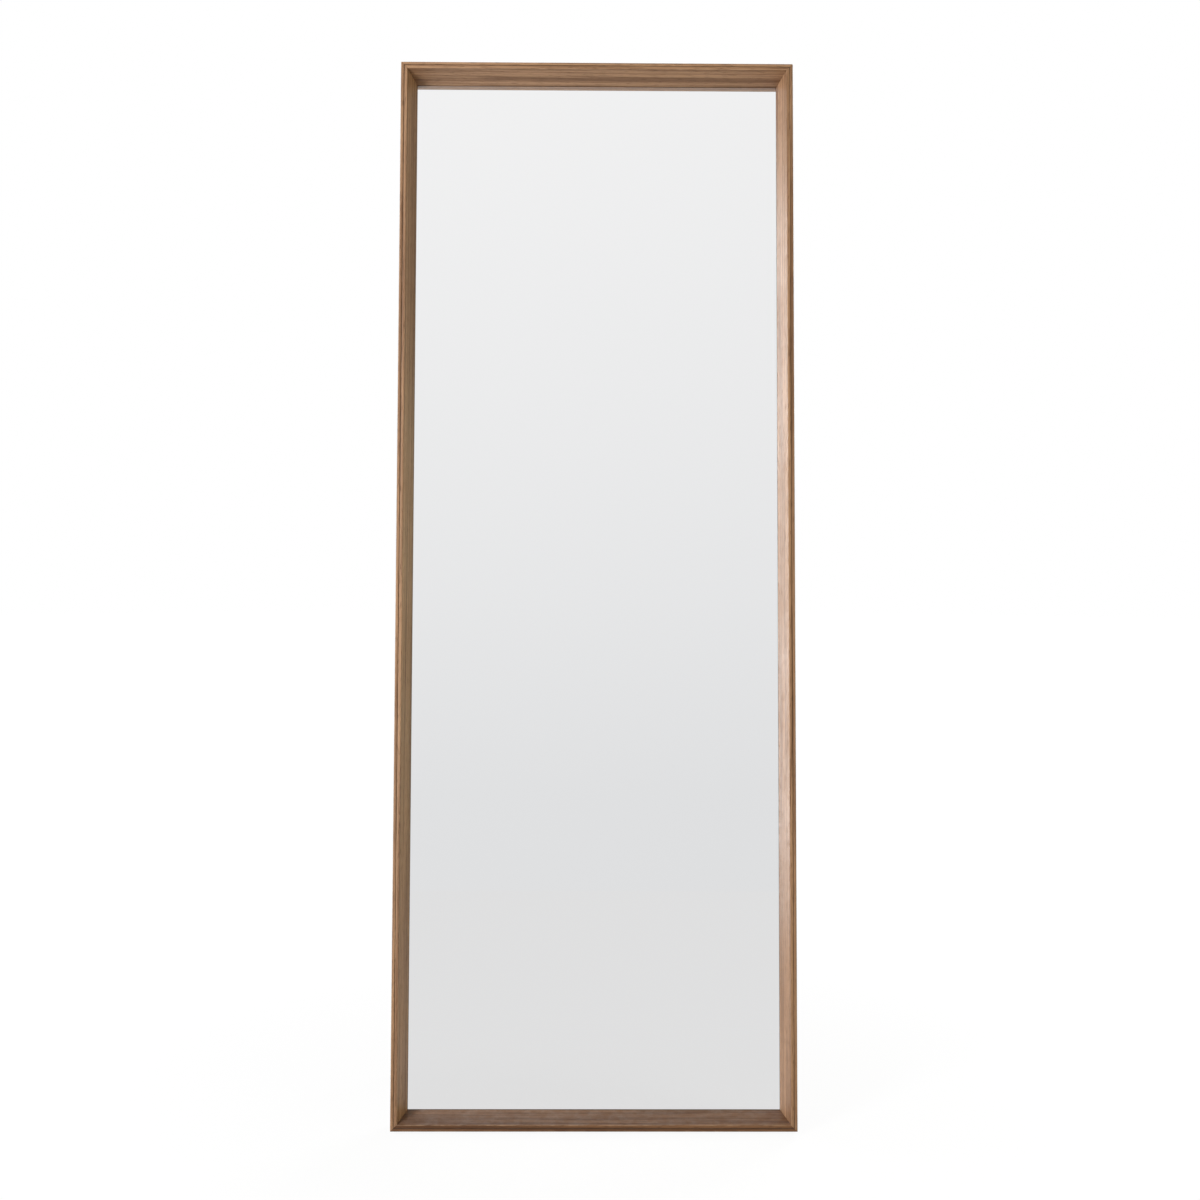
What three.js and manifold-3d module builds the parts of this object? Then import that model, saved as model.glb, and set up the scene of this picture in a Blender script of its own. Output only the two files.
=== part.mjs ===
// A free-standing full-length floor mirror: a deep, mitred solid-wood box frame whose inner
// faces slope back to a silvered glass pane, a backing board screwed in behind the glass, a
// U-shaped tube stand that folds flat on two brackets, two hangers with D-rings, and rubber
// feet. It stands leaning back on its feet and its open stand.
//
// Frame of reference, in millimetres: +Z is up, the mirror faces -Y and +X is to the right of
// someone looking into it. The origin is the centre of the object's footprint, on the floor.
import * as THREE from "three";
import { mergeVertices } from "three/addons/utils/BufferGeometryUtils.js";
import Module from "manifold-3d";

const wasm = await Module();
wasm.setup();

// ---------------------------------------------------------------- driving dimensions

const frameWidth = 597;
const frameHeight = 1600;
const frameDepth = 53;

// Seating gap or glue line between two pieces that touch.
const fitGap = 0.3;
const mitreGap = 0.2;

// Moulding section: a thin front edge that thickens towards the glass.
const frontEdge = 9.5;
const sightInset = 20.5;
const outerArris = 1.2;
const innerArris = 0.5;
const quirkWidth = 1.2;
const quirkDepth = 0.8;
const rearWall = 5;
const boardLedge = 9;

// Panels that fill the rebate.
const glassThickness = 4;
const glassEdgeGap = 0.5;
const tapeThickness = 1;
const tapeWidth = 25;
const tapeCount = 4;
const tapeEndInset = 60;
const boardThickness = 4;
const boardEdgeGap = 0.5;
const boardRecess = 0.3;

// Loose tongues that key the mitres.
const splineThickness = 3;
const splineWidth = 13;
const splineLength = 34;
const splineInset = 7;

// Countersunk screws that hold the board.
const screwShank = 1.5;
const screwLength = 16;
const boardScrewHead = 3.2;
const screwEndInset = 90;
const stileScrews = 6;
const railScrews = 3;
const pivotBay = 4; // the stand's pivot is midway between this board screw and the next one up
const hangerBay = 5; // and so is the hanger's ring

// Cross recess in every screw head.
const recessSpan = 3;
const recessWidth = 0.7;
const recessDepth = 1.2;

// Hangers: a curled strap, a D-ring of bent wire and two pan-head screws each.
const strapWidth = 8;
const strapThickness = 1;
const strapTail = 5; // past the lower screw
const curlEnd = -110; // angle at which the curl stops, in degrees from the wall side
const wireRadius = 1.1;
const ringInnerWidth = 12;
const ringCorner = 2;
const ringLeg = 6.5;
const wireButt = 0.4;
const panHead = 2.8;
const panHeight = 2;
const panScrewLength = 14;
const hangerScrewPitch = 10;
const ringToScrew = 1.5; // between the hanging ring and the upper screw's head

// The folding stand: one bent tube, with a bracket, a pivot pin and an end plug on each side.
const lean = THREE.MathUtils.degToRad(6); // of the panel, back from upright
const standOpening = THREE.MathUtils.degToRad(11.5); // between the panel and the open legs
const tubeRadius = 5.5;
const tubeWall = 1.2;
const tubeBend = 35;
const tubeStub = 18; // above the pivot; its end rests on the bracket when the stand is open
const bracketThickness = 1.5;
const bracketLength = 80;
const bracketCorner = 3;
const bracketScrewInset = 10;
const earGap = 0.4;
const earLength = 22;
const earMargin = 5; // of ear beyond the pin's hole
const pinRadius = 2.5;
const pinHeadRadius = 4;
const pinHead = 1.5;
const plugHead = 2;
const plugDepth = 8;
const sleeveWall = 2.5;
const sleeveLength = 50;
const sleeveInset = 110;
const sleeveRound = 0.8;

// Wedge-shaped rubber feet under the bottom rail.
const padLength = 80;
const padThickness = 2; // at the rear edge
const padEndInset = 30;
const padFrontInset = 22;
const padRearInset = 2;

// ---------------------------------------------------------------- places that follow

const hands = [["left", -1], ["right", 1]];

// Depths are measured from the frame's front face towards the wall.
const boardBack = frameDepth - boardRecess;
const boardFront = boardBack - boardThickness;
const boardSeat = boardFront - fitGap;
const tapeBack = boardFront - fitGap;
const tapeFront = tapeBack - tapeThickness;
const glassBack = tapeFront - fitGap;
const glassFront = glassBack - glassThickness;
const glassSeat = glassFront - fitGap;

// Insets are measured from the frame's outer faces towards its middle.
const glassRebate = rearWall + boardLedge;
const boardInset = rearWall + boardEdgeGap;
const glassInset = glassRebate + glassEdgeGap;
const screwInset = rearWall + boardLedge / 2 + boardEdgeGap;

const frameMiddle = frameHeight / 2;

// Heights along a stile, and distances along a rail.
const stilePlaces = screwPlaces(frameHeight, stileScrews);
const railPlaces = screwPlaces(frameWidth, railScrews);
const pivotHeight = (stilePlaces[pivotBay - 1] + stilePlaces[pivotBay]) / 2;
const hangerPlace = (stilePlaces[hangerBay - 1] + stilePlaces[hangerBay]) / 2;

// Places of the board screws along a side of the given length, measured from its end.
function screwPlaces(length, count) {
  const pitch = (length - 2 * screwEndInset) / (count - 1);
  return Array.from({ length: count }, (_, i) => screwEndInset + i * pitch);
}

const curlInner = wireRadius + fitGap;
const curlOuter = curlInner + strapThickness;
const strapBase = boardBack + fitGap; // depth of the strap's underside
const ringDepth = strapBase + curlOuter; // depth of the ring's axis

// Distances below the ring's axis.
const ringReach = ringLeg + ringInnerWidth / 2 + 2 * wireRadius;
const upperScrewDrop = ringReach + ringToScrew + panHead;
const hangerScrewDrops = [upperScrewDrop, upperScrewDrop + hangerScrewPitch];
const strapLength = upperScrewDrop + hangerScrewPitch + strapTail;

// The stand's stub meets its bracket when the legs have opened by standOpening.
const pivotRise = tubeStub * Math.sin(standOpening) + tubeRadius * Math.cos(standOpening) + fitGap;
const bracketTop = boardBack + fitGap + bracketThickness;
const pivotDepth = bracketTop + pivotRise;
const earInner = tubeRadius + earGap;
const earOuter = earInner + bracketThickness;
const sleeveRadius = tubeRadius + fitGap + sleeveWall;
const legSpacing = frameWidth / 2 - screwInset; // of each leg from the middle

// How the leaning panel and its open stand meet the floor.
const padRear = frameDepth - padRearInset;
const liftOffFloor = padRear * Math.sin(lean) + (fitGap + padThickness) * Math.cos(lean);
const pivotZ = liftOffFloor - pivotDepth * Math.sin(lean) + pivotHeight * Math.cos(lean);
const legAngle = standOpening - lean; // of the open legs from upright
const legLength = (pivotZ - sleeveRadius) / Math.cos(legAngle);
const pivotY = pivotDepth * Math.cos(lean) + pivotHeight * Math.sin(lean);
const footprint = pivotY + legLength * Math.sin(legAngle) + sleeveRadius;

// ---------------------------------------------------------------- materials

const wood = new THREE.MeshStandardMaterial({ color: 0x9a7656, roughness: 0.6, metalness: 0 });
const plywood = new THREE.MeshStandardMaterial({ color: 0xc9a97c, roughness: 0.8, metalness: 0 });
const silver = new THREE.MeshStandardMaterial({ color: 0xe2e4e6, roughness: 0.02, metalness: 1 });
const fibreboard = new THREE.MeshStandardMaterial({ color: 0x6b4f38, roughness: 0.9, metalness: 0 });
const foam = new THREE.MeshStandardMaterial({ color: 0xe8e6df, roughness: 0.9, metalness: 0 });
const zinc = new THREE.MeshStandardMaterial({ color: 0xb4b6b4, roughness: 0.35, metalness: 1 });
const rubber = new THREE.MeshStandardMaterial({ color: 0x2a2a29, roughness: 0.85, metalness: 0 });
const black = new THREE.MeshStandardMaterial({ color: 0x1d1d1e, roughness: 0.5, metalness: 0.3 });
const plastic = new THREE.MeshStandardMaterial({ color: 0x141414, roughness: 0.4, metalness: 0 });

// ---------------------------------------------------------------- solids and booleans

// A closed geometry as a manifold solid, placed by an optional matrix.
function solid(geometry, matrix = new THREE.Matrix4()) {
  const bare = new THREE.BufferGeometry();
  bare.setAttribute("position", geometry.getAttribute("position").clone());
  bare.setIndex(geometry.getIndex());
  bare.applyMatrix4(matrix);
  const merged = mergeVertices(bare, 1e-4);
  return new wasm.Manifold(
    new wasm.Mesh({
      numProp: 3,
      vertProperties: new Float32Array(merged.getAttribute("position").array),
      triVerts: new Uint32Array(merged.getIndex().array),
    }),
  );
}

// A manifold solid as a geometry that a mesh can hold.
function geometryOf(body) {
  const mesh = body.getMesh();
  const geometry = new THREE.BufferGeometry();
  geometry.setAttribute("position", new THREE.BufferAttribute(mesh.vertProperties, 3));
  geometry.setIndex(new THREE.BufferAttribute(mesh.triVerts, 1));
  geometry.computeVertexNormals();
  return geometry;
}

function cut(body, cutters) {
  return cutters.reduce((left, cutter) => left.subtract(cutter), body);
}

function at(x, y, z, turnY = 0) {
  return new THREE.Matrix4().makeRotationY(turnY).setPosition(x, y, z);
}

function part(name, geometry, material, x = 0, y = 0, z = 0) {
  const mesh = new THREE.Mesh(geometry, material);
  mesh.name = name;
  mesh.position.set(x, y, z);
  return mesh;
}

// ---------------------------------------------------------------- screws

// A screw along Y with the top of its head at y = 0 and its point towards -Y. The grow value
// makes the hole that clears it. The head is a rounded pan or a countersunk cone.
function screwProfile(headRadius, headHeight, isPan, length, grow) {
  const shank = screwShank + grow;
  const head = headRadius + grow;
  const under = isPan ? headHeight : headRadius - screwShank;
  const profile = [new THREE.Vector2(0, -length - grow)];
  profile.push(new THREE.Vector2(shank * 0.25, -length - grow));
  profile.push(new THREE.Vector2(shank, -length + screwShank * 2));
  profile.push(new THREE.Vector2(shank, -under));
  if (isPan) {
    profile.push(new THREE.Vector2(head, -under));
    profile.push(new THREE.Vector2(head, -headHeight * 0.45));
    profile.push(new THREE.Vector2(head * 0.75, -headHeight * 0.1));
  } else {
    profile.push(new THREE.Vector2(head, 0));
  }
  profile.push(new THREE.Vector2(0, 0));
  return profile;
}

function crossRecess() {
  const blade = new THREE.BoxGeometry(recessSpan, recessDepth * 2, recessWidth);
  return solid(blade).add(solid(blade, at(0, 0, 0, Math.PI / 2)));
}

function screw(headRadius, headHeight, isPan, length) {
  const turned = new THREE.LatheGeometry(screwProfile(headRadius, headHeight, isPan, length, 0), 12);
  return geometryOf(solid(turned).subtract(crossRecess()));
}

// The hole for a shank from y = 0 down to the given length.
function shankHole(length) {
  const hole = new THREE.CylinderGeometry(screwShank + fitGap, screwShank + fitGap, length, 12);
  return hole.translate(0, -length / 2, 0);
}

const hangerScrewPlaces = hangerScrewDrops.map((drop) => hangerPlace - drop);

// Two screws hold each bracket, above and below the stand's pivot.
const bracketReach = bracketLength / 2 - bracketScrewInset;
const bracketScrewPlaces = [pivotHeight + bracketReach, pivotHeight - bracketReach];

// ---------------------------------------------------------------- the mitred frame

// Section of the moulding: x is the inset from the outer face, y the depth from the front.
function mouldingSection() {
  const slope = (sightInset - frontEdge) / glassSeat;
  const quirk = frontEdge / 2;
  const section = new THREE.Shape();
  section.moveTo(0, outerArris);
  section.absarc(outerArris, outerArris, outerArris, Math.PI, Math.PI * 1.5, false);
  section.lineTo(quirk - quirkWidth / 2, 0);
  section.lineTo(quirk, quirkDepth);
  section.lineTo(quirk + quirkWidth / 2, 0);
  section.lineTo(frontEdge - innerArris, 0);
  section.lineTo(frontEdge + slope * innerArris, innerArris);
  section.lineTo(sightInset, glassSeat);
  section.lineTo(glassRebate, glassSeat);
  section.lineTo(glassRebate, boardSeat);
  section.lineTo(rearWall, boardSeat);
  section.lineTo(rearWall, frameDepth);
  section.lineTo(outerArris, frameDepth);
  section.absarc(outerArris, frameDepth - outerArris, outerArris, Math.PI / 2, Math.PI, false);
  return section;
}

// A length of moulding along +Z with both ends mitred towards its outer face.
function mitredMoulding(length) {
  const geometry = new THREE.ExtrudeGeometry(mouldingSection(), {
    depth: length,
    bevelEnabled: false,
    curveSegments: 4,
  });
  const relief = mitreGap / Math.SQRT2;
  const position = geometry.getAttribute("position");
  for (let i = 0; i < position.count; i++) {
    const setBack = position.getX(i) + relief;
    position.setZ(i, position.getZ(i) < length / 2 ? setBack : length - setBack);
  }
  return geometry;
}

function splineBlock(grow) {
  return new THREE.BoxGeometry(
    splineWidth + 2 * grow,
    splineLength + 2 * grow,
    splineThickness + 2 * grow,
  );
}

const splineDepth = glassSeat / 2 + 2; // depth of the tongue's middle

// One side of the frame, with the slots for its tongues and the holes for its screws.
function frameSide(length, holePlaces) {
  const slots = [
    solid(splineBlock(fitGap), at(splineInset, splineDepth, splineInset, Math.PI / 4)),
    solid(splineBlock(fitGap), at(splineInset, splineDepth, length - splineInset, -Math.PI / 4)),
  ];
  const holes = holePlaces.map(([place, tip]) => {
    const depth = boardSeat - tip + fitGap;
    return solid(shankHole(depth + 1), at(screwInset, boardSeat + 1, place));
  });
  return geometryOf(cut(solid(mitredMoulding(length)), [...slots, ...holes]));
}

const boardScrewTip = boardBack - screwLength;
const hangerScrewTip = strapBase + strapThickness - panScrewLength;
const bracketScrewTip = bracketTop - panScrewLength;

function holesFor(places) {
  return places.map((place) => [place, boardScrewTip]);
}

function frameSides() {
  const group = new THREE.Group();
  const hangerHoles = hangerScrewPlaces.map((z) => [z, hangerScrewTip]);
  const bracketHoles = bracketScrewPlaces.map((z) => [z, bracketScrewTip]);
  const stileHoles = [...holesFor(stilePlaces), ...hangerHoles, ...bracketHoles];
  // The right stile runs downwards, so its places are counted from the top.
  const turnedHoles = stileHoles.map(([z, tip]) => [frameHeight - z, tip]);
  const half = frameWidth / 2;
  const sides = [
    ["left_stile", frameHeight, stileHoles, -half, 0, 0],
    ["top_rail", frameWidth, holesFor(railPlaces), -half, frameHeight, Math.PI / 2],
    ["right_stile", frameHeight, turnedHoles, half, frameHeight, Math.PI],
    ["bottom_rail", frameWidth, holesFor(railPlaces), half, 0, -Math.PI / 2],
  ];
  for (const [name, length, holes, x, z, turn] of sides) {
    const side = part(name, frameSide(length, holes), wood, x, 0, z);
    side.rotation.y = turn;
    group.add(side);
  }
  return group;
}

function mitreSplines() {
  const group = new THREE.Group();
  for (const [level, up] of [["bottom", -1], ["top", 1]]) {
    for (const [hand, across] of hands) {
      const x = across * (frameWidth / 2 - splineInset);
      const z = frameMiddle + up * (frameHeight / 2 - splineInset);
      const name = `mitre_spline_${level}_${hand}`;
      const spline = part(name, splineBlock(0), plywood, x, splineDepth, z);
      spline.rotation.y = (across * up * Math.PI) / 4;
      group.add(spline);
    }
  }
  return group;
}

// ---------------------------------------------------------------- glass, tape and board

function pane(width, height, thickness) {
  return new THREE.BoxGeometry(width, thickness, height);
}

function mirrorGlass() {
  const glass = pane(frameWidth - 2 * glassInset, frameHeight - 2 * glassInset, glassThickness);
  return part("mirror_glass", glass, silver, 0, (glassFront + glassBack) / 2, frameMiddle);
}

function mountingTapes() {
  const group = new THREE.Group();
  const height = frameHeight - 2 * (glassInset + tapeEndInset);
  const pitch = (frameWidth - 2 * glassInset) / tapeCount;
  for (let i = 0; i < tapeCount; i++) {
    const x = (i - (tapeCount - 1) / 2) * pitch;
    const strip = pane(tapeWidth, height, tapeThickness);
    const depth = (tapeFront + tapeBack) / 2;
    group.add(part(`mounting_tape_${i + 1}`, strip, foam, x, depth, frameMiddle));
  }
  return group;
}

// Every board screw as [name, x, z], counted clockwise from the foot of the left stile.
function boardScrewSites() {
  const across = frameWidth / 2 - screwInset;
  const up = frameHeight / 2 - screwInset;
  const left = stilePlaces.map((p) => [-across, p]);
  const top = railPlaces.map((p) => [p - frameWidth / 2, frameMiddle + up]);
  const right = stilePlaces.map((p) => [across, frameHeight - p]);
  const bottom = railPlaces.map((p) => [frameWidth / 2 - p, frameMiddle - up]);
  return [...left, ...top, ...right, ...bottom].map(([x, z], i) => {
    return [`board_screw_${String(i + 1).padStart(2, "0")}`, x, z];
  });
}

// Screws up both stiles at the given heights, as [name, x, z].
function stileScrewSites(name, places) {
  const sites = [];
  for (const [hand, across] of hands) {
    places.forEach((z, i) => sites.push([`${name}_${hand}_${i + 1}`, across * legSpacing, z]));
  }
  return sites;
}

const hangerScrewSites = stileScrewSites("hanger_screw", hangerScrewPlaces);
const bracketScrewSites = stileScrewSites("bracket_screw", bracketScrewPlaces);

function backingBoard() {
  const width = frameWidth - 2 * boardInset;
  const height = frameHeight - 2 * boardInset;
  const middle = (boardFront + boardBack) / 2;
  const sunk = new THREE.LatheGeometry(screwProfile(boardScrewHead, 0, false, screwLength, fitGap), 12);
  const throughHole = shankHole(boardThickness + 2);
  const cutters = [
    ...boardScrewSites().map(([, x, z]) => solid(sunk, at(x, boardBack + 0.01, z))),
    ...hangerScrewSites.map(([, x, z]) => solid(throughHole, at(x, boardBack + 1, z))),
    ...bracketScrewSites.map(([, x, z]) => solid(throughHole, at(x, boardBack + 1, z))),
  ];
  const sheet = solid(pane(width, height, boardThickness), at(0, middle, frameMiddle));
  return part("backing_board", geometryOf(cut(sheet, cutters)), fibreboard);
}

function boardScrews() {
  const group = new THREE.Group();
  const shape = screw(boardScrewHead, 0, false, screwLength);
  for (const [name, x, z] of boardScrewSites()) {
    group.add(part(name, shape, zinc, x, boardBack, z));
  }
  return group;
}

// ---------------------------------------------------------------- hangers

// The strap seen along X: x is the height over the board, y is up, and the origin is on the
// ring's axis. The flat part runs down from the curl that wraps the ring's bar.
function strapSection() {
  const section = new THREE.Shape();
  const end = THREE.MathUtils.degToRad(curlEnd);
  section.moveTo(-curlOuter, -strapLength);
  section.lineTo(-curlOuter, 0);
  section.absarc(0, 0, curlOuter, Math.PI, end, true);
  section.lineTo(curlInner * Math.cos(end), curlInner * Math.sin(end));
  section.absarc(0, 0, curlInner, end, Math.PI, false);
  section.lineTo(-curlInner, -strapLength);
  section.closePath();
  return section;
}

function hangerStrap() {
  const bent = new THREE.ExtrudeGeometry(strapSection(), {
    depth: strapWidth,
    bevelEnabled: false,
    curveSegments: 12,
  });
  // Section x becomes +Y, section y becomes +Z and the extrusion runs along +X.
  const turned = new THREE.Matrix4().makeBasis(
    new THREE.Vector3(0, 1, 0),
    new THREE.Vector3(0, 0, 1),
    new THREE.Vector3(1, 0, 0),
  );
  bent.applyMatrix4(turned).translate(-strapWidth / 2, 0, 0);
  const holes = hangerScrewDrops.map((drop) => {
    return solid(shankHole(strapThickness + 2), at(0, 1 - curlInner, -drop));
  });
  return geometryOf(cut(solid(bent), holes));
}

// An arc in the XZ plane, from one angle to another about a centre.
class RingArc extends THREE.Curve {
  constructor(x, z, radius, from, to) {
    super();
    Object.assign(this, { x, z, radius, from, to });
  }

  getPoint(t, target = new THREE.Vector3()) {
    const angle = this.from + t * (this.to - this.from);
    return target.set(this.x + this.radius * Math.cos(angle), 0, this.z + this.radius * Math.sin(angle));
  }
}

// The D-ring's wire: its ends butt in the middle of the straight bar, inside the curl.
function ringWire() {
  const leg = ringInnerWidth / 2 + wireRadius;
  const bar = leg - ringCorner;
  const point = (x, z) => new THREE.Vector3(x, 0, z);
  const wire = new THREE.CurvePath();
  wire.add(new THREE.LineCurve3(point(wireButt / 2, 0), point(bar, 0)));
  wire.add(new RingArc(bar, -ringCorner, ringCorner, Math.PI / 2, 0));
  wire.add(new THREE.LineCurve3(point(leg, -ringCorner), point(leg, -ringLeg)));
  wire.add(new RingArc(0, -ringLeg, leg, 0, -Math.PI));
  wire.add(new THREE.LineCurve3(point(-leg, -ringLeg), point(-leg, -ringCorner)));
  wire.add(new RingArc(-bar, -ringCorner, ringCorner, Math.PI, Math.PI / 2));
  wire.add(new THREE.LineCurve3(point(-bar, 0), point(-wireButt / 2, 0)));
  return wire;
}

function hangerRing() {
  const round = new THREE.Shape().absarc(0, 0, wireRadius, 0, Math.PI * 2, false);
  return new THREE.ExtrudeGeometry(round, {
    extrudePath: ringWire(),
    steps: 44,
    curveSegments: 4,
    bevelEnabled: false,
  });
}

// Pan-head screws that hold a plate of the given thickness to the panel's back.
function panScrews(sites, plateTop) {
  const group = new THREE.Group();
  const shape = screw(panHead, panHeight, true, panScrewLength + panHeight);
  for (const [name, x, z] of sites) {
    group.add(part(name, shape, zinc, x, plateTop + fitGap + panHeight, z));
  }
  return group;
}

// The rings hang plumb behind the leaning panel.
function hangers() {
  const group = panScrews(hangerScrewSites, strapBase + strapThickness);
  const strap = hangerStrap();
  const wire = hangerRing();
  for (const [hand, across] of hands) {
    const x = across * legSpacing;
    const ring = part(`hanger_ring_${hand}`, wire, zinc, x, ringDepth, hangerPlace);
    ring.rotation.x = lean;
    group.add(part(`hanger_strap_${hand}`, strap, zinc, x, ringDepth, hangerPlace), ring);
  }
  return group;
}

// ---------------------------------------------------------------- stand brackets

// A U-shaped bracket, with its origin on the pivot: a plate with an ear on each side of the tube.
function bracketShape() {
  const plate = roundedPlate(2 * earOuter, bracketLength, bracketCorner, bracketThickness);
  const plateMiddle = -pivotRise - bracketThickness / 2;
  const ear = new THREE.Shape();
  const earTop = pinRadius + earMargin;
  ear.moveTo(-earLength / 2, -pivotRise - bracketThickness / 2);
  ear.lineTo(earLength / 2, -pivotRise - bracketThickness / 2);
  ear.lineTo(earTop, 0);
  ear.absarc(0, 0, earTop, 0, Math.PI, false);
  const sheet = new THREE.ExtrudeGeometry(ear, {
    depth: bracketThickness,
    bevelEnabled: false,
    curveSegments: 8,
  });
  // Outline x becomes +Z, outline y becomes +Y and the extrusion runs along -X.
  const turned = new THREE.Matrix4().makeBasis(
    new THREE.Vector3(0, 0, 1),
    new THREE.Vector3(0, 1, 0),
    new THREE.Vector3(-1, 0, 0),
  );
  sheet.applyMatrix4(turned);
  let body = solid(plate, at(0, plateMiddle, 0));
  for (const outerFace of [earOuter, -earInner]) {
    body = body.add(solid(sheet, at(outerFace, 0, 0)));
  }
  const screwHole = shankHole(bracketThickness + 2);
  const top = 1 - pivotRise;
  return geometryOf(
    cut(body, [
      solid(crossHole(pinRadius + fitGap, 2 * earOuter + 2)),
      solid(screwHole, at(0, top, bracketReach)),
      solid(screwHole, at(0, top, -bracketReach)),
    ]),
  );
}

// A plate in the XZ plane with rounded corners, centred on the origin.
function roundedPlate(width, height, corner, thickness) {
  const x = width / 2 - corner;
  const z = height / 2 - corner;
  const outline = new THREE.Shape();
  outline.absarc(x, z, corner, 0, Math.PI / 2, false);
  outline.absarc(-x, z, corner, Math.PI / 2, Math.PI, false);
  outline.absarc(-x, -z, corner, Math.PI, Math.PI * 1.5, false);
  outline.absarc(x, -z, corner, Math.PI * 1.5, Math.PI * 2, false);
  const flat = new THREE.ExtrudeGeometry(outline, {
    depth: thickness,
    bevelEnabled: false,
    curveSegments: 4,
  });
  return flat.translate(0, 0, -thickness / 2).rotateX(Math.PI / 2);
}

// A cylinder along X, for a hole across a leg or through both ears.
function crossHole(radius, length) {
  return new THREE.CylinderGeometry(radius, radius, length, 16).rotateZ(Math.PI / 2);
}

// A headed pin along X, riveted over at both ends outside the ears.
function pivotPin() {
  const inner = earOuter + fitGap;
  const profile = [
    new THREE.Vector2(0, -inner - pinHead),
    new THREE.Vector2(pinHeadRadius * 0.8, -inner - pinHead),
    new THREE.Vector2(pinHeadRadius, -inner - pinHead * 0.5),
    new THREE.Vector2(pinHeadRadius, -inner),
    new THREE.Vector2(pinRadius, -inner),
    new THREE.Vector2(pinRadius, inner),
    new THREE.Vector2(pinHeadRadius, inner),
    new THREE.Vector2(pinHeadRadius, inner + pinHead * 0.5),
    new THREE.Vector2(pinHeadRadius * 0.8, inner + pinHead),
    new THREE.Vector2(0, inner + pinHead),
  ];
  return new THREE.LatheGeometry(profile, 16).rotateZ(Math.PI / 2);
}

function brackets() {
  const group = panScrews(bracketScrewSites, bracketTop);
  const bracket = bracketShape();
  const pin = pivotPin();
  for (const [hand, across] of hands) {
    const x = across * legSpacing;
    group.add(part(`stand_bracket_${hand}`, bracket, black, x, pivotDepth, pivotHeight));
    group.add(part(`pivot_pin_${hand}`, pin, zinc, x, pivotDepth, pivotHeight));
  }
  return group;
}

// ---------------------------------------------------------------- folding stand

// The tube's centre line in the XZ plane, as stations with the tube's heading at each one.
class StandRun extends THREE.Curve {
  constructor(stations) {
    super();
    this.stations = stations;
  }

  stationAt(u) {
    return this.stations[Math.round(u * (this.stations.length - 1))];
  }

  getPointAt(u, target = new THREE.Vector3()) {
    return target.copy(this.stationAt(u).point);
  }

  getTangentAt(u, target = new THREE.Vector3()) {
    return target.copy(this.stationAt(u).heading);
  }
}

// Down the left leg, across and up the right leg; the pivot is at z = 0.
function standRun() {
  const station = (x, z, dx, dz) => {
    return { point: new THREE.Vector3(x, 0, z), heading: new THREE.Vector3(dx, 0, dz) };
  };
  const bendSteps = 8;
  const middle = legSpacing - tubeBend;
  const bendTop = tubeBend - legLength;
  const stations = [station(-legSpacing, tubeStub, 0, -1)];
  for (const [side, start] of [[-1, Math.PI], [1, Math.PI * 1.5]]) {
    for (let i = 0; i <= bendSteps; i++) {
      const angle = start + (i / bendSteps) * (Math.PI / 2);
      const x = side * middle + tubeBend * Math.cos(angle);
      const z = bendTop + tubeBend * Math.sin(angle);
      stations.push(station(x, z, -Math.sin(angle), Math.cos(angle)));
    }
  }
  stations.push(station(legSpacing, tubeStub, 0, 1));
  return new StandRun(stations);
}

function standTube() {
  const wall = new THREE.Shape().absarc(0, 0, tubeRadius, 0, Math.PI * 2, false);
  wall.holes.push(new THREE.Path().absarc(0, 0, tubeRadius - tubeWall, 0, Math.PI * 2, true));
  const run = standRun();
  const bent = new THREE.ExtrudeGeometry(wall, {
    extrudePath: run,
    steps: run.stations.length - 1,
    curveSegments: 8,
    bevelEnabled: false,
  });
  const pinHoles = hands.map(([, across]) => {
    return solid(crossHole(pinRadius + fitGap, 2 * tubeRadius + 2), at(across * legSpacing, 0, 0));
  });
  return geometryOf(cut(solid(bent), pinHoles));
}

// A plug for the tube's open end, with its head's underside at z = 0.
function endPlug() {
  const profile = [
    new THREE.Vector2(0, -plugDepth),
    new THREE.Vector2(tubeRadius - tubeWall - fitGap, -plugDepth),
    new THREE.Vector2(tubeRadius - tubeWall - fitGap, 0),
    new THREE.Vector2(tubeRadius, 0),
    new THREE.Vector2(tubeRadius, plugHead * 0.5),
    new THREE.Vector2(tubeRadius * 0.7, plugHead),
    new THREE.Vector2(0, plugHead),
  ];
  return new THREE.LatheGeometry(profile, 16).rotateX(Math.PI / 2);
}

// A rubber sleeve along X that grips the floor.
function footSleeve() {
  const bore = tubeRadius + fitGap;
  const profile = [
    new THREE.Vector2(bore, -sleeveLength / 2),
    new THREE.Vector2(sleeveRadius - sleeveRound, -sleeveLength / 2),
    new THREE.Vector2(sleeveRadius, sleeveRound - sleeveLength / 2),
    new THREE.Vector2(sleeveRadius, sleeveLength / 2 - sleeveRound),
    new THREE.Vector2(sleeveRadius - sleeveRound, sleeveLength / 2),
    new THREE.Vector2(bore, sleeveLength / 2),
    new THREE.Vector2(bore, -sleeveLength / 2),
  ];
  return new THREE.LatheGeometry(profile, 24).rotateZ(Math.PI / 2);
}

function foldingStand() {
  const group = new THREE.Group();
  group.position.set(0, pivotDepth, pivotHeight);
  group.rotation.x = standOpening;
  group.add(part("stand_tube", standTube(), black));
  const plug = endPlug();
  const sleeve = footSleeve();
  for (const [hand, across] of hands) {
    const leg = across * legSpacing;
    const foot = across * (legSpacing - sleeveInset);
    group.add(part(`tube_plug_${hand}`, plug, plastic, leg, 0, tubeStub + fitGap));
    group.add(part(`foot_sleeve_${hand}`, sleeve, rubber, foot, 0, -legLength));
  }
  return group;
}

// ---------------------------------------------------------------- floor pads

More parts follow.
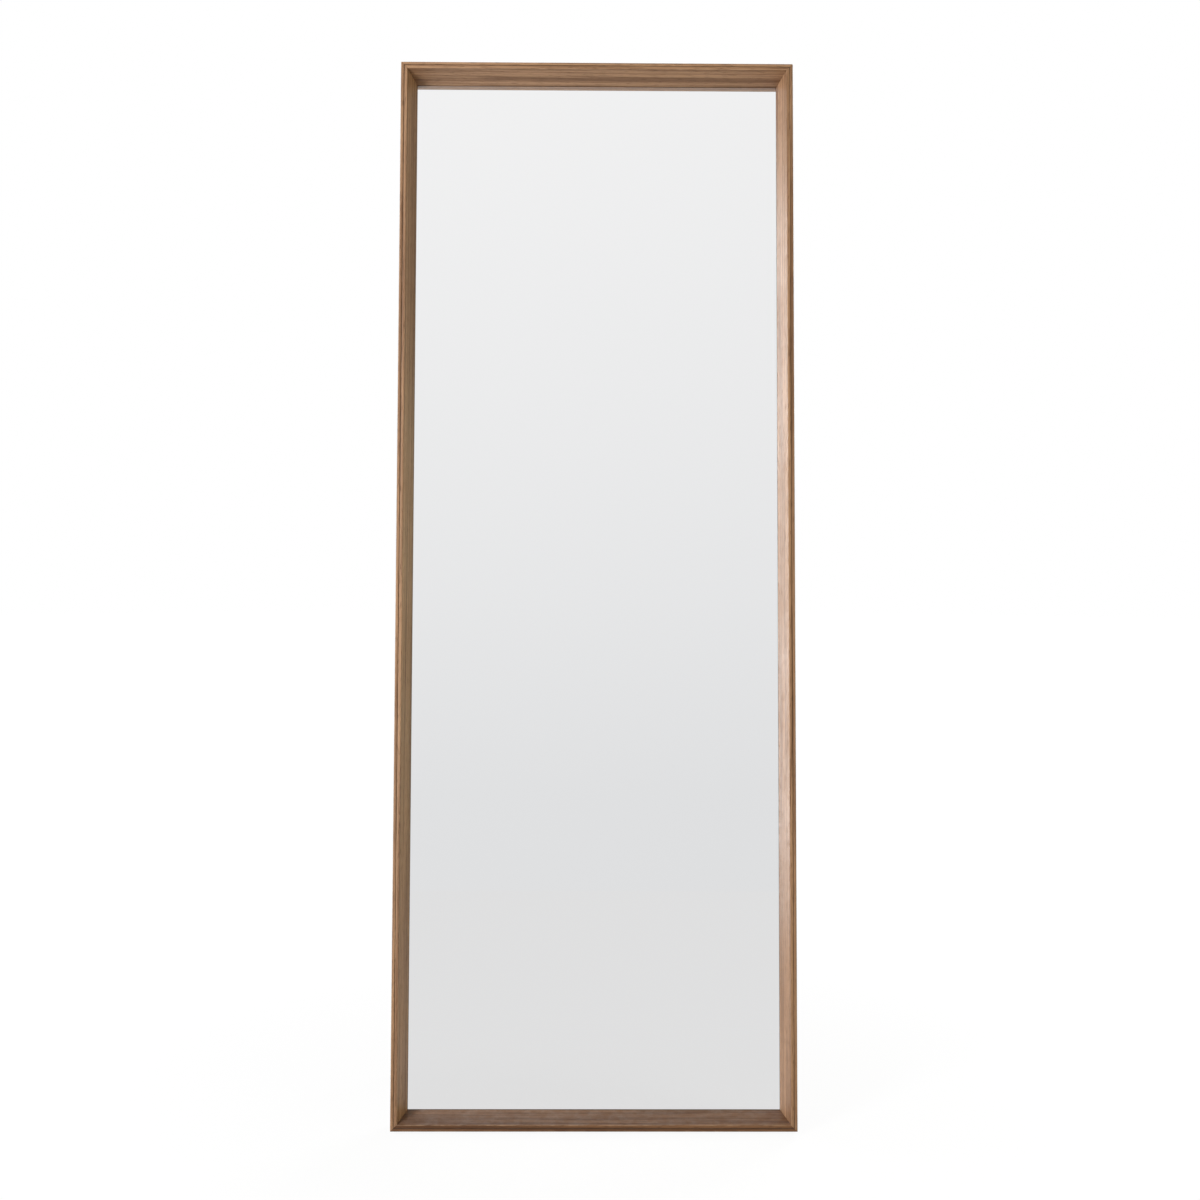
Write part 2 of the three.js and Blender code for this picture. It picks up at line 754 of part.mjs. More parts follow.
// Each pad is a wedge whose underside lies flat on the floor while the panel leans.
function floorPads() {
  const group = new THREE.Group();
  const side = new THREE.Shape();
  const top = -fitGap;
  const rear = top - padThickness;
  side.moveTo(padFrontInset, top);
  side.lineTo(padRear, top);
  side.lineTo(padRear, rear);
  side.lineTo(padFrontInset, rear - (padRear - padFrontInset) * Math.tan(lean));
  const wedge = new THREE.ExtrudeGeometry(side, { depth: padLength, bevelEnabled: false });
  // Outline x becomes +Y, outline y becomes +Z and the extrusion runs along +X.
  const turned = new THREE.Matrix4().makeBasis(
    new THREE.Vector3(0, 1, 0),
    new THREE.Vector3(0, 0, 1),
    new THREE.Vector3(1, 0, 0),
  );
  wedge.applyMatrix4(turned).translate(-padLength / 2, 0, 0);
  for (const [hand, across] of hands) {
    const x = across * (frameWidth / 2 - padEndInset - padLength / 2);
    group.add(part(`floor_pad_${hand}`, wedge, rubber, x, 0, 0));
  }
  return group;
}

// ---------------------------------------------------------------- assembly

// Everything is placed on the upright panel, with y = 0 on its front face and z = 0 on its
// underside. The panel then leans back and is lifted on to its feet.
const panel = new THREE.Group();
panel.position.set(0, -footprint / 2, liftOffFloor);
panel.rotation.x = -lean;
panel.add(
  frameSides(),
  mitreSplines(),
  mirrorGlass(),
  mountingTapes(),
  backingBoard(),
  boardScrews(),
  hangers(),
  brackets(),
  foldingStand(),
  floorPads(),
);

const mirror = new THREE.Group();
mirror.name = "floor_mirror";
mirror.add(panel);

export default mirror;
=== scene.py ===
"""Looks of a free-standing full-length floor mirror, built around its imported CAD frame.

The mirror is a deep mitred wooden box frame whose inner walls slope in to the glass. It leans
back a little on wedge feet and on a tube stand that folds flat against its back.
"""

from __future__ import annotations

import logging
import math
from dataclasses import dataclass, field
from enum import Enum
from typing import Callable, Union

import bmesh
import bpy
from mathutils import Matrix, Vector

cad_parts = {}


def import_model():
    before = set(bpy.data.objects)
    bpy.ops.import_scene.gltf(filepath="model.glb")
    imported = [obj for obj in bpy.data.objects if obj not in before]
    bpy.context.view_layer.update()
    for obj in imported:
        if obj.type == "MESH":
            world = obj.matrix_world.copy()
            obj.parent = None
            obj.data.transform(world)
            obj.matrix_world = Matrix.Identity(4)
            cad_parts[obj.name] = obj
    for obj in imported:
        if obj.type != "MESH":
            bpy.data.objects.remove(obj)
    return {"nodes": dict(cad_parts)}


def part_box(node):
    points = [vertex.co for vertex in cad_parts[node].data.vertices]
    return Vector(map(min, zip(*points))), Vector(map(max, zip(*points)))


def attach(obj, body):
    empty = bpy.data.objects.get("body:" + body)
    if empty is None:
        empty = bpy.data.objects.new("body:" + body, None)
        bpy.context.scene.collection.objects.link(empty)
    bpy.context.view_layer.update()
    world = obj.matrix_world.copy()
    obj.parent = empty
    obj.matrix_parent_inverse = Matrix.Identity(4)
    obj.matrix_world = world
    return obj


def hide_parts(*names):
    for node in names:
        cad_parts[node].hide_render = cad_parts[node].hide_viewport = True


LOG = logging.getLogger("floor_mirror")
MM = 0.001
NODES_PER_ROW = 12
NODE_SPACING = 220.0
GRAIN_WANDER = 12.0 * MM
WELD = 1e-7
ON_AXIS = 1e-9
RIM_SHARE = 0.985
KEEN_ANGLE = 0.6

Feed = Union[bpy.types.NodeSocket, float, int, bool, str, tuple, bpy.types.ID]
Colour = tuple[float, float, float]


class Hand(Enum):
    """Left or right of someone looking into the mirror, as a sign along X."""

    LEFT = -1
    RIGHT = 1

    @property
    def word(self) -> str:
        """The hand's name as the CAD nodes spell it."""
        return self.name.lower()


class Side(Enum):
    """The four sides: node name, turn about Y, the figure offset of its timber, and how much painted shade
    darkens it.
    """

    LEFT = ("left_stile", 0.0, (0.0, 0.0, 0.0), 0.0)
    TOP = ("top_rail", 90.0, (0.31, 0.12, 2.3), 0.0)
    RIGHT = ("right_stile", 180.0, (0.57, 0.43, 3.6), 0.0)
    # The bottom rail's 0.8 is painted shade: the whole rail is darkened as if less light reached it.
    BOTTOM = ("bottom_rail", -90.0, (0.83, 0.71, 7.7), 0.8)


class HeadStyle(Enum):
    """The two kinds of screw head on the back."""

    COUNTERSUNK = "countersunk"
    PAN = "pan"


# ------------------------------------------------------------------------------ node wiring


class NodeGraph:
    """A node tree that is wired by calls, for shaders and for geometry."""

    def __init__(self, tree: bpy.types.NodeTree) -> None:
        """Starts on a tree.

        Args:
            tree: The node tree that new nodes go into.
        """
        self.tree = tree

    def add(self, kind: str, inputs: dict[Union[str, int], Feed] | None = None,
            **settings: object) -> bpy.types.Node:
        """Adds one node.

        Args:
            kind: The node's type name.
            inputs: What each input takes: a socket to link from, or a plain value.
            **settings: Properties of the node itself.

        Returns:
            The new node.
        """
        node = self.tree.nodes.new(kind)
        row, column = divmod(len(self.tree.nodes), NODES_PER_ROW)
        node.location = (column * NODE_SPACING, -row * NODE_SPACING)
        for key, value in settings.items():
            setattr(node, key, value)
        for key, feed in (inputs or {}).items():
            if isinstance(feed, bpy.types.NodeSocket):
                self.tree.links.new(feed, node.inputs[key])
            else:
                node.inputs[key].default_value = feed
        return node

    def math(self, operation: str, a: Feed, b: Feed = 0.0, clamp: bool = False) -> bpy.types.NodeSocket:
        """Adds a scalar calculation.

        Args:
            operation: The calculation, as the Math node spells it.
            a: Its first value.
            b: Its second value.
            clamp: Whether the result is kept from 0 to 1.

        Returns:
            The result's socket.
        """
        kind = "ShaderNodeMath"
        return self.add(kind, {0: a, 1: b}, operation=operation, use_clamp=clamp).outputs[0]

    def line(self, value: Feed, slope: float, base: float) -> bpy.types.NodeSocket:
        """Adds a straight-line sum.

        Args:
            value: What is multiplied.
            slope: What it is multiplied by.
            base: What is then added.

        Returns:
            The result's socket.
        """
        feeds = {0: value, 1: slope, 2: base}
        return self.add("ShaderNodeMath", feeds, operation="MULTIPLY_ADD").outputs[0]

    def mix(self, factor: Feed, a: Feed, b: Feed, blend: str = "MIX") -> bpy.types.NodeSocket:
        """Mixes two colours.

        Args:
            factor: How much of the second colour shows.
            a: The first colour.
            b: The second colour.
            blend: The blend type.

        Returns:
            The mixed colour's socket.
        """
        node = self.add("ShaderNodeMix", data_type="RGBA", blend_type=blend, clamp_factor=True)
        for index, feed in ((0, factor), (6, a), (7, b)):
            if isinstance(feed, bpy.types.NodeSocket):
                self.tree.links.new(feed, node.inputs[index])
            elif index == 0:
                node.inputs[index].default_value = feed
            else:
                node.inputs[index].default_value = (*feed[:3], 1.0)
        return node.outputs[2]

    def ramp(self, value: Feed, low: float, high: float, out_low: float = 0.0,
             out_high: float = 1.0) -> bpy.types.NodeSocket:
        """Maps a range smoothly on to another.

        Args:
            value: What is mapped.
            low: The value that gives out_low.
            high: The value that gives out_high.
            out_low: The result at and below low.
            out_high: The result at and above high.

        Returns:
            The mapped value's socket.
        """
        feeds = {0: value, 1: low, 2: high, 3: out_low, 4: out_high}
        return self.add("ShaderNodeMapRange", feeds, interpolation_type="SMOOTHSTEP").outputs[0]

    def stretch(self, vector: Feed, scale: tuple[float, float, float]) -> bpy.types.NodeSocket:
        """Scales a pattern's coordinates by a different amount along each axis."""
        return self.add("ShaderNodeVectorMath", {0: vector, 1: scale}, operation="MULTIPLY").outputs[0]

    def shifted(self, vector: Feed, shift: Feed) -> bpy.types.NodeSocket:
        """Adds a shift to a pattern's coordinates."""
        return self.add("ShaderNodeVectorMath", {0: vector, 1: shift}, operation="ADD").outputs[0]

    def noise(self, vector: Feed, scale: Feed, detail: float = 3.0,
              roughness: float = 0.55) -> bpy.types.NodeSocket:
        """Adds a noise pattern.

        Args:
            vector: The coordinates.
            scale: The pattern's scale.
            detail: How many finer layers it has.
            roughness: How strong those are.

        Returns:
            The pattern's value socket.
        """
        feeds = {"Vector": vector, "Scale": scale, "Detail": detail, "Roughness": roughness}
        return self.add("ShaderNodeTexNoise", feeds).outputs["Fac"]


def open_tree(kind: str, name: str, inputs: dict[str, tuple[str, object]],
              outputs: dict[str, str]) -> tuple[NodeGraph, bpy.types.Node, bpy.types.Node]:
    """Makes a node group with named sockets.

    Args:
        kind: ShaderNodeTree or GeometryNodeTree.
        name: The group's name.
        inputs: Each input's socket type and default value, by name.
        outputs: Each output's socket type, by name.

    Returns:
        The group's graph, its input node and its output node.
    """
    tree = bpy.data.node_groups.new(name, kind)
    for label, (socket_type, default) in inputs.items():
        socket = tree.interface.new_socket(name=label, in_out="INPUT", socket_type=socket_type)
        if default is not None:
            socket.default_value = default
    for label, socket_type in outputs.items():
        tree.interface.new_socket(name=label, in_out="OUTPUT", socket_type=socket_type)
    graph = NodeGraph(tree)
    return graph, graph.add("NodeGroupInput"), graph.add("NodeGroupOutput")


# ------------------------------------------------------------------------------ shared effects


class Effects:
    """Shader node groups that more than one finish uses, each built once."""

    _built: dict[str, bpy.types.NodeTree] = {}

    @classmethod
    def group(cls, name: str, make: Callable[[], bpy.types.NodeTree]) -> bpy.types.NodeTree:
        """Gives a group, building it the first time.

        Args:
            name: The group's name.
            make: Builds it.

        Returns:
            The node group.
        """
        if name not in cls._built:
            cls._built[name] = make()
        return cls._built[name]

    @classmethod
    def grain(cls) -> bpy.types.NodeTree:
        """Straight timber grain along Z: growth streaks, fibres and open pores."""
        return cls.group("timber grain", cls._make_grain)

    @staticmethod
    def _make_grain() -> bpy.types.NodeTree:
        """Builds the grain group.

        Returns:
            The node group.
        """
        graph, given, out = open_tree(
            "ShaderNodeTree",
            "timber grain",
            {
                "Coordinates": ("NodeSocketVector", None),
                "Streak Scale": ("NodeSocketFloat", 150.0),
                "Fibre Scale": ("NodeSocketFloat", 900.0),
                "Pore Scale": ("NodeSocketFloat", 1500.0),
            },
            {"Streaks": "NodeSocketFloat", "Bands": "NodeSocketFloat", "Fibres": "NodeSocketFloat",
             "Pores": "NodeSocketFloat", "Height": "NodeSocketFloat"},
        )
        coordinates = given.outputs["Coordinates"]
        wander = graph.noise(graph.stretch(coordinates, (6.0, 6.0, 1.6)), 1.0, 1.0)
        bend = graph.math("MULTIPLY", graph.math("SUBTRACT", wander, 0.5), GRAIN_WANDER)
        shift = graph.add("ShaderNodeCombineXYZ", {0: bend, 1: bend}).outputs[0]
        bent = graph.shifted(coordinates, shift)
        streaks = graph.noise(graph.stretch(bent, (1.0, 1.0, 0.009)), given.outputs["Streak Scale"], 3.0)
        bands = graph.noise(graph.stretch(bent, (0.4, 0.4, 0.003)), given.outputs["Streak Scale"], 1.0)
        fibres = graph.noise(graph.stretch(bent, (1.0, 1.0, 0.018)), given.outputs["Fibre Scale"], 2.0)
        dashes = graph.noise(graph.stretch(bent, (1.0, 1.0, 0.05)), given.outputs["Pore Scale"], 0.0)
        pores = graph.ramp(dashes, 0.64, 0.74)
        rise = graph.math("SUBTRACT", graph.math("MULTIPLY", fibres, 0.6), pores)
        pairs = {"Streaks": graph.ramp(streaks, 0.44, 0.58), "Bands": graph.ramp(bands, 0.34, 0.66),
                 "Fibres": fibres, "Pores": pores, "Height": rise}
        for label, socket in pairs.items():
            graph.tree.links.new(socket, out.inputs[label])
        return graph.tree

    @classmethod
    def rub(cls) -> bpy.types.NodeTree:
        """Wear along edges: an edge value broken up by a coarse and a fine pattern."""
        return cls.group("edge rub", cls._make_rub)

    @staticmethod
    def _make_rub() -> bpy.types.NodeTree:
        """Builds the edge wear group.

        Returns:
            The node group.
        """
        graph, given, out = open_tree(
            "ShaderNodeTree",
            "edge rub",
            {"Edge": ("NodeSocketFloat", 0.0), "Coordinates": ("NodeSocketVector", None),
             "Amount": ("NodeSocketFloat", 0.6)},
            {"Mask": "NodeSocketFloat"},
        )
        patches = graph.noise(given.outputs["Coordinates"], 38.0, 4.0, 0.65)
        worn = graph.math("MULTIPLY", given.outputs["Edge"], graph.ramp(patches, 0.35, 0.7))
        mask = graph.math("MULTIPLY", worn, given.outputs["Amount"], clamp=True)
        graph.tree.links.new(mask, out.inputs["Mask"])
        return graph.tree

    @classmethod
    def mottle(cls) -> bpy.types.NodeTree:
        """A fine grainy surface: specks for colour, a height for bump, and slow patches."""
        return cls.group("surface mottle", cls._make_mottle)

    @staticmethod
    def _make_mottle() -> bpy.types.NodeTree:
        """Builds the mottle group.

        Returns:
            The node group.
        """
        graph, given, out = open_tree(
            "ShaderNodeTree",
            "surface mottle",
            {"Coordinates": ("NodeSocketVector", None), "Speck Scale": ("NodeSocketFloat", 900.0),
             "Patch Scale": ("NodeSocketFloat", 9.0)},
            {"Specks": "NodeSocketFloat", "Patches": "NodeSocketFloat", "Height": "NodeSocketFloat"},
        )
        coordinates = given.outputs["Coordinates"]
        fine = graph.noise(coordinates, given.outputs["Speck Scale"], 2.0, 0.6)
        cells = graph.add(
            "ShaderNodeTexVoronoi", {"Vector": coordinates, "Scale": given.outputs["Speck Scale"]}
        ).outputs["Distance"]
        height = graph.math("SUBTRACT", fine, graph.math("MULTIPLY", cells, 0.4))
        slow = graph.noise(coordinates, given.outputs["Patch Scale"], 4.0, 0.6)
        pairs = {"Specks": graph.ramp(fine, 0.36, 0.66), "Patches": graph.ramp(slow, 0.32, 0.68),
                 "Height": height}
        for label, socket in pairs.items():
            graph.tree.links.new(socket, out.inputs[label])
        return graph.tree

    @classmethod
    def dust(cls) -> bpy.types.NodeTree:
        """Dust on faces that look up."""
        return cls.group("settled dust", cls._make_dust)

    @staticmethod
    def _make_dust() -> bpy.types.NodeTree:
        """Builds the dust group.

        Returns:
            The node group.
        """
        graph, given, out = open_tree(
            "ShaderNodeTree",
            "settled dust",
            {"Coordinates": ("NodeSocketVector", None), "Amount": ("NodeSocketFloat", 0.3)},
            {"Mask": "NodeSocketFloat"},
        )
        normal = graph.add("ShaderNodeNewGeometry").outputs["Normal"]
        up = graph.add("ShaderNodeSeparateXYZ", {0: normal}).outputs[2]
        facing = graph.ramp(up, 0.55, 1.0)
        broken = graph.ramp(graph.noise(given.outputs["Coordinates"], 60.0, 5.0, 0.7), 0.3, 0.8)
        mask = graph.math("MULTIPLY", graph.math("MULTIPLY", facing, broken), given.outputs["Amount"])
        graph.tree.links.new(mask, out.inputs["Mask"])
        return graph.tree


# ------------------------------------------------------------------------------ finishes


class Surface:
    """One material being built: its graph, its shader and the coordinates that patterns read."""

    def __init__(self, name: str, constants: dict[str, float]) -> None:
        """Starts a material.

        Args:
            name: The material's name.
            constants: Shader values that are the same all over the surface.
        """
        self.material = bpy.data.materials.new(name)
        self.material.use_nodes = True
        self.graph = NodeGraph(self.material.node_tree)
        self.shader = self.material.node_tree.nodes["Principled BSDF"]
        for label, value in constants.items():
            self.shader.inputs[label].default_value = value
        self.place = self.graph.add("ShaderNodeTexCoord").outputs["Object"]

    def effect(self, group: bpy.types.NodeTree, inputs: dict[str, Feed]) -> bpy.types.NodeOutputs:
        """Places a shared effect.

        Args:
            group: The node group.
            inputs: This material's own values for it.

        Returns:
            The group node's outputs.
        """
        node = self.graph.add("ShaderNodeGroup", node_tree=group)
        for label, feed in inputs.items():
            if isinstance(feed, bpy.types.NodeSocket):
                self.graph.tree.links.new(feed, node.inputs[label])
            else:
                node.inputs[label].default_value = feed
        return node.outputs

    def attribute(self, name: str) -> bpy.types.Node:
        """A node that reads one of the piece's own attributes."""
        return self.graph.add("ShaderNodeAttribute", attribute_name=name)

    def feed(self, label: str, socket: bpy.types.NodeSocket) -> None:
        """Links a socket to one of the shader's inputs."""
        self.graph.tree.links.new(socket, self.shader.inputs[label])

    def bump(self, height: bpy.types.NodeSocket, strength: float, distance: float) -> None:
        """Feeds a height to the shader's normal.

        Args:
            height: The height pattern.
            strength: The bump's strength.
            distance: What a height of 1 stands for, in metres.
        """
        feeds = {"Height": height, "Strength": strength, "Distance": distance}
        self.feed("Normal", self.graph.add("ShaderNodeBump", feeds).outputs["Normal"])


@dataclass(frozen=True)
class TimberFinish:
    """Stained straight-grained hardwood under a satin lacquer; grain follows each moulding."""

    light: Colour = (0.45, 0.262, 0.148)
    dark: Colour = (0.195, 0.098, 0.05)
    pore: Colour = (0.06, 0.028, 0.014)
    worn: Colour = (0.56, 0.36, 0.225)
    # Painted shade colour for creases: the quirk groove, the foot of the sight wall and the rebates.
    grime: Colour = (0.05, 0.029, 0.017)
    # Painted shade colour, multiplied onto the bottom rail.
    shade: Colour = (0.35, 0.26, 0.19)
    dusty: Colour = (0.62, 0.6, 0.57)
    streak_scale: float = 230.0
    streak_share: float = 0.55
    band_share: float = 0.38
    fibre_share: float = 0.3
    tone_base: float = -0.06
    pore_share: float = 0.55
    grime_share: float = 0.85
    wear: float = 0.55
    dust: float = 0.1
    satin: float = 0.38

    def build(self) -> bpy.types.Material:
        """Makes the material.

        Returns:
            The material.
        """
        surface = Surface("satin stained hardwood", {"Specular IOR Level": 0.235})
        graph = surface.graph
        along = surface.attribute("grain").outputs["Vector"]
        grain = surface.effect(Effects.grain(), {"Coordinates": along, "Streak Scale": self.streak_scale})
        tone = graph.line(grain["Streaks"], self.streak_share, self.tone_base)
        tone = graph.math("ADD", tone, graph.math("MULTIPLY", grain["Bands"], self.band_share))
        fibres = graph.math("MULTIPLY", graph.ramp(grain["Fibres"], 0.4, 0.64), self.fibre_share)
        tone = graph.math("ADD", tone, fibres, clamp=True)
        colour = graph.mix(tone, self.light, self.dark)
        # Painted shade: each side is multiplied towards the shade colour by its painted shade value, which
        # darkens only the bottom rail.
        deepness = surface.attribute("deepness").outputs["Fac"]
        colour = graph.mix(deepness, colour, self.shade, "MULTIPLY")
        pores = graph.math("MULTIPLY", grain["Pores"], self.pore_share)
        colour = graph.mix(pores, colour, self.pore)
        edge = surface.attribute("edge").outputs["Fac"]
        rubbed = {"Edge": edge, "Coordinates": surface.place, "Amount": self.wear}
        rub = surface.effect(Effects.rub(), rubbed)
        colour = graph.mix(rub["Mask"], colour, self.worn)
        # Painted shade in creases: corners with a recess value darken towards the crease shade colour.
        recess = surface.attribute("recess").outputs["Fac"]
        colour = graph.mix(graph.math("MULTIPLY", recess, self.grime_share), colour, self.grime)
        dust = surface.effect(Effects.dust(), {"Coordinates": surface.place, "Amount": self.dust})
        colour = graph.mix(dust["Mask"], colour, self.dusty)
        surface.feed("Base Color", colour)
        patches = surface.effect(
            Effects.mottle(), {"Coordinates": surface.place, "Speck Scale": 700.0, "Patch Scale": 7.0}
        )
        sheen = graph.line(patches["Patches"], 0.07, self.satin)
        surface.feed("Roughness", graph.math("ADD", sheen, graph.math("MULTIPLY", grain["Pores"], 0.2)))
        surface.bump(grain["Height"], 0.35, 0.00012)
        return surface.material


@dataclass(frozen=True)
class PlywoodFinish:
    """Raw plywood of the mitre tongues: thin plies seen edge on."""

    light: Colour = (0.66, 0.50, 0.32)
    dark: Colour = (0.38, 0.25, 0.14)

    def build(self) -> bpy.types.Material:
        """Makes the material.

        Returns:
            The material.
        """
        surface = Surface("raw plywood", {"Roughness": 0.8})
        grain = surface.effect(
            Effects.grain(), {"Coordinates": surface.place, "Streak Scale": 420.0, "Fibre Scale": 1600.0}
        )
        surface.feed("Base Color", surface.graph.mix(grain["Streaks"], self.light, self.dark))
        surface.bump(grain["Height"], 0.4, 0.0001)
        return surface.material


@dataclass(frozen=True)
class SilverFinish:
    """Silvered float glass: clear reflection, and a thin brown painted shadow line just inside the sight
    edge.
    """

    silver: Colour = (0.93, 0.93, 0.934)
    hazy: Colour = (0.922, 0.924, 0.929)
    rim: Colour = (0.2, 0.165, 0.13)

    def build(self) -> bpy.types.Material:
        """Makes the material.

        Returns:
            The material.
        """
        surface = Surface("silvered glass", {"Metallic": 1.0, "Coat Weight": 0.0})
        graph = surface.graph
        rim = surface.attribute("rim").outputs["Fac"]
        haze = surface.effect(
            Effects.mottle(), {"Coordinates": surface.place, "Speck Scale": 500.0, "Patch Scale": 3.0}
        )
        tint = graph.mix(graph.math("MULTIPLY", haze["Patches"], 0.25), self.silver, self.hazy)
        # Painted shadow: a thin brown line along the sight edge of the glass.
        surface.feed("Base Color", graph.mix(graph.ramp(rim, 0.0, 1.0), tint, self.rim))
        surface.feed("Roughness", graph.line(haze["Patches"], 0.012, 0.004))
        return surface.material


@dataclass(frozen=True)
class FibreboardFinish:
    """Brown hardboard: a pressed smooth face with dark and pale fibres in it."""

    light: Colour = (0.245, 0.15, 0.085)
    dark: Colour = (0.11, 0.063, 0.035)
    pale_strand: Colour = (0.36, 0.235, 0.14)
    dark_strand: Colour = (0.07, 0.04, 0.023)
    strand_curl: float = 12.0 * MM

    def build(self) -> bpy.types.Material:
        """Makes the material.

        Returns:
            The material.
        """
        surface = Surface("pressed fibreboard", {})
        graph = surface.graph
        mottle = surface.effect(
            Effects.mottle(), {"Coordinates": surface.place, "Speck Scale": 520.0, "Patch Scale": 5.0}
        )
        curl = graph.math("MULTIPLY", graph.noise(surface.place, 40.0, 2.0), self.strand_curl)
        shift = graph.add("ShaderNodeCombineXYZ", {0: curl, 2: curl}).outputs[0]
        swirl = graph.shifted(surface.place, shift)
        across = graph.noise(graph.stretch(swirl, (240.0, 240.0, 1300.0)), 1.0, 3.0)
        upright = graph.noise(graph.stretch(swirl, (1300.0, 240.0, 260.0)), 1.0, 3.0)
        pale = graph.math("MULTIPLY", graph.ramp(across, 0.54, 0.68), 0.28)
        deep = graph.math("MULTIPLY", graph.ramp(upright, 0.55, 0.7), 0.3)
        colour = graph.mix(graph.line(mottle["Patches"], 0.22, 0.5), self.dark, self.light)
        colour = graph.mix(graph.math("MULTIPLY", mottle["Specks"], 0.45), colour, self.dark)
        colour = graph.mix(pale, colour, self.pale_strand)
        surface.feed("Base Color", graph.mix(deep, colour, self.dark_strand))
        surface.feed("Roughness", graph.line(mottle["Patches"], 0.16, 0.5))
        surface.bump(mottle["Height"], 0.35, 0.00015)
        return surface.material


@dataclass(frozen=True)
class GrainyFinish:
    """A moulded, coated or plated surface with fine specks, slow patches and settled dust."""

    name: str
    base: Colour
    second: Colour
    roughness: float
    spread: float
    metallic: float = 0.0
    speck_scale: float = 1400.0
    bump: float = 0.3
    dust: float = 0.25
    dusty: Colour = (0.5, 0.48, 0.45)
    wear: float = 0.6

    def build(self) -> bpy.types.Material:
        """Makes the material.

        Returns:
            The material.
        """
        surface = Surface(self.name, {"Metallic": self.metallic})
        graph = surface.graph
        mottle = surface.effect(
            Effects.mottle(),
            {"Coordinates": surface.place, "Speck Scale": self.speck_scale, "Patch Scale": 26.0},
        )
        colour = graph.mix(mottle["Patches"], self.base, self.second)
        colour = graph.mix(graph.math("MULTIPLY", mottle["Specks"], 0.3), colour, self.second)
        edge = surface.attribute("edge").outputs["Fac"]
        rubbed = {"Edge": edge, "Coordinates": surface.place, "Amount": self.wear}
        rub = surface.effect(Effects.rub(), rubbed)
        lighter = tuple(min(1.0, 1.6 * channel + 0.02) for channel in self.second)
        colour = graph.mix(rub["Mask"], colour, lighter)
        dust = surface.effect(Effects.dust(), {"Coordinates": surface.place, "Amount": self.dust})
        surface.feed("Base Color", graph.mix(dust["Mask"], colour, self.dusty))
        gloss = graph.line(mottle["Patches"], self.spread, self.roughness)
        surface.feed("Roughness", graph.math("ADD", gloss, graph.math("MULTIPLY", dust["Mask"], 0.3)))
        surface.bump(mottle["Height"], self.bump, 0.00008)
        return surface.material


FOAM = GrainyFinish(
    "white foam tape", (0.78, 0.77, 0.72), (0.66, 0.65, 0.6), roughness=0.85, spread=0.1,
    speck_scale=900.0, bump=0.8, dust=0.0,
)
ZINC = GrainyFinish(
    "bright zinc plate", (0.60, 0.61, 0.60), (0.50, 0.52, 0.53), roughness=0.24, spread=0.18,
    metallic=1.0, speck_scale=2200.0, bump=0.12, dust=0.06,
)
POWDER = GrainyFinish(
    "black powder coat", (0.020, 0.020, 0.021), (0.034, 0.034, 0.036), roughness=0.42, spread=0.12,
    speck_scale=1500.0, bump=0.55, dust=0.12,
)
RUBBER = GrainyFinish(
    "grey black rubber", (0.030, 0.030, 0.029), (0.05, 0.049, 0.047), roughness=0.72, spread=0.14,
    speck_scale=1100.0, bump=0.35, dust=0.3,
)
PLASTIC = GrainyFinish(
    "moulded black plastic", (0.015, 0.015, 0.015), (0.024, 0.024, 0.025), roughness=0.38, spread=0.1,
    speck_scale=1900.0, bump=0.25, dust=0.2,
)


@dataclass(frozen=True)
class Finishes:
    """Every finish of the mirror, made once and shared by the sub-assemblies."""

    timber: bpy.types.Material = field(default_factory=lambda: TimberFinish().build())
    plywood: bpy.types.Material = field(default_factory=lambda: PlywoodFinish().build())
    silver: bpy.types.Material = field(default_factory=lambda: SilverFinish().build())
    fibreboard: bpy.types.Material = field(default_factory=lambda: FibreboardFinish().build())
    foam: bpy.types.Material = field(default_factory=lambda: FOAM.build())
    zinc: bpy.types.Material = field(default_factory=lambda: ZINC.build())
    powder: bpy.types.Material = field(default_factory=lambda: POWDER.build())
    rubber: bpy.types.Material = field(default_factory=lambda: RUBBER.build())
    plastic: bpy.types.Material = field(default_factory=lambda: PLASTIC.build())


# ------------------------------------------------------------------------------ placing pieces


@dataclass(frozen=True)
class Placement:
    """Where the leaning panel and its open stand are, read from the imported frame.

    Panel coordinates are the upright panel's: X across, Y the depth behind the front face and
    Z the height over the underside. Stand coordinates start at the pivot.
    """

    nodes: dict[str, bpy.types.Object]
    lean: float = math.radians(6.0)
    opening: float = math.radians(11.5)
    glass_depth: float = 45.1 * MM
    glass_inset: float = 14.5 * MM
    glass_thickness: float = 4.0 * MM

    @property
    def width(self) -> float:
        """Width of the frame over its stiles."""
        low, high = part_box("mirror_glass")
        return high.x - low.x + 2.0 * self.glass_inset

    @property
    def height(self) -> float:
        """Height of the frame along its leaning stiles."""
        low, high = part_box("mirror_glass")
        pane = (high.z - low.z - self.glass_thickness * math.sin(self.lean)) / math.cos(self.lean)
        return pane + 2.0 * self.glass_inset

    @property
    def panel(self) -> Matrix:
        """From panel coordinates to the row frame."""
        low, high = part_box("mirror_glass")
        turn = Matrix.Rotation(-self.lean, 4, "X")
        origin = (low + high) / 2.0 - turn @ Vector((0.0, self.glass_depth, self.height / 2.0))
        return Matrix.Translation(origin) @ turn

    @property
    def stand(self) -> Matrix:
        """From stand coordinates to the row frame, with the stand open."""
        low, high = self.local_box(self.panel, "pivot_pin_left")
        pivot = Matrix.Translation((0.0, (low.y + high.y) / 2.0, (low.z + high.z) / 2.0))
        return self.panel @ pivot @ Matrix.Rotation(self.opening, 4, "X")

    def local_box(self, place: Matrix, node: str) -> tuple[Vector, Vector]:
        """The box of a CAD node in a placement's own coordinates.

        Args:
            place: From those coordinates to the row frame.
            node: The CAD node's name.

        Returns:
            Its lowest and highest corner.
        """
        back = place.inverted()
        points = [back @ vertex.co for vertex in self.nodes[node].data.vertices]
        low = Vector([min(p[i] for p in points) for i in range(3)])
        high = Vector([max(p[i] for p in points) for i in range(3)])
        return low, high


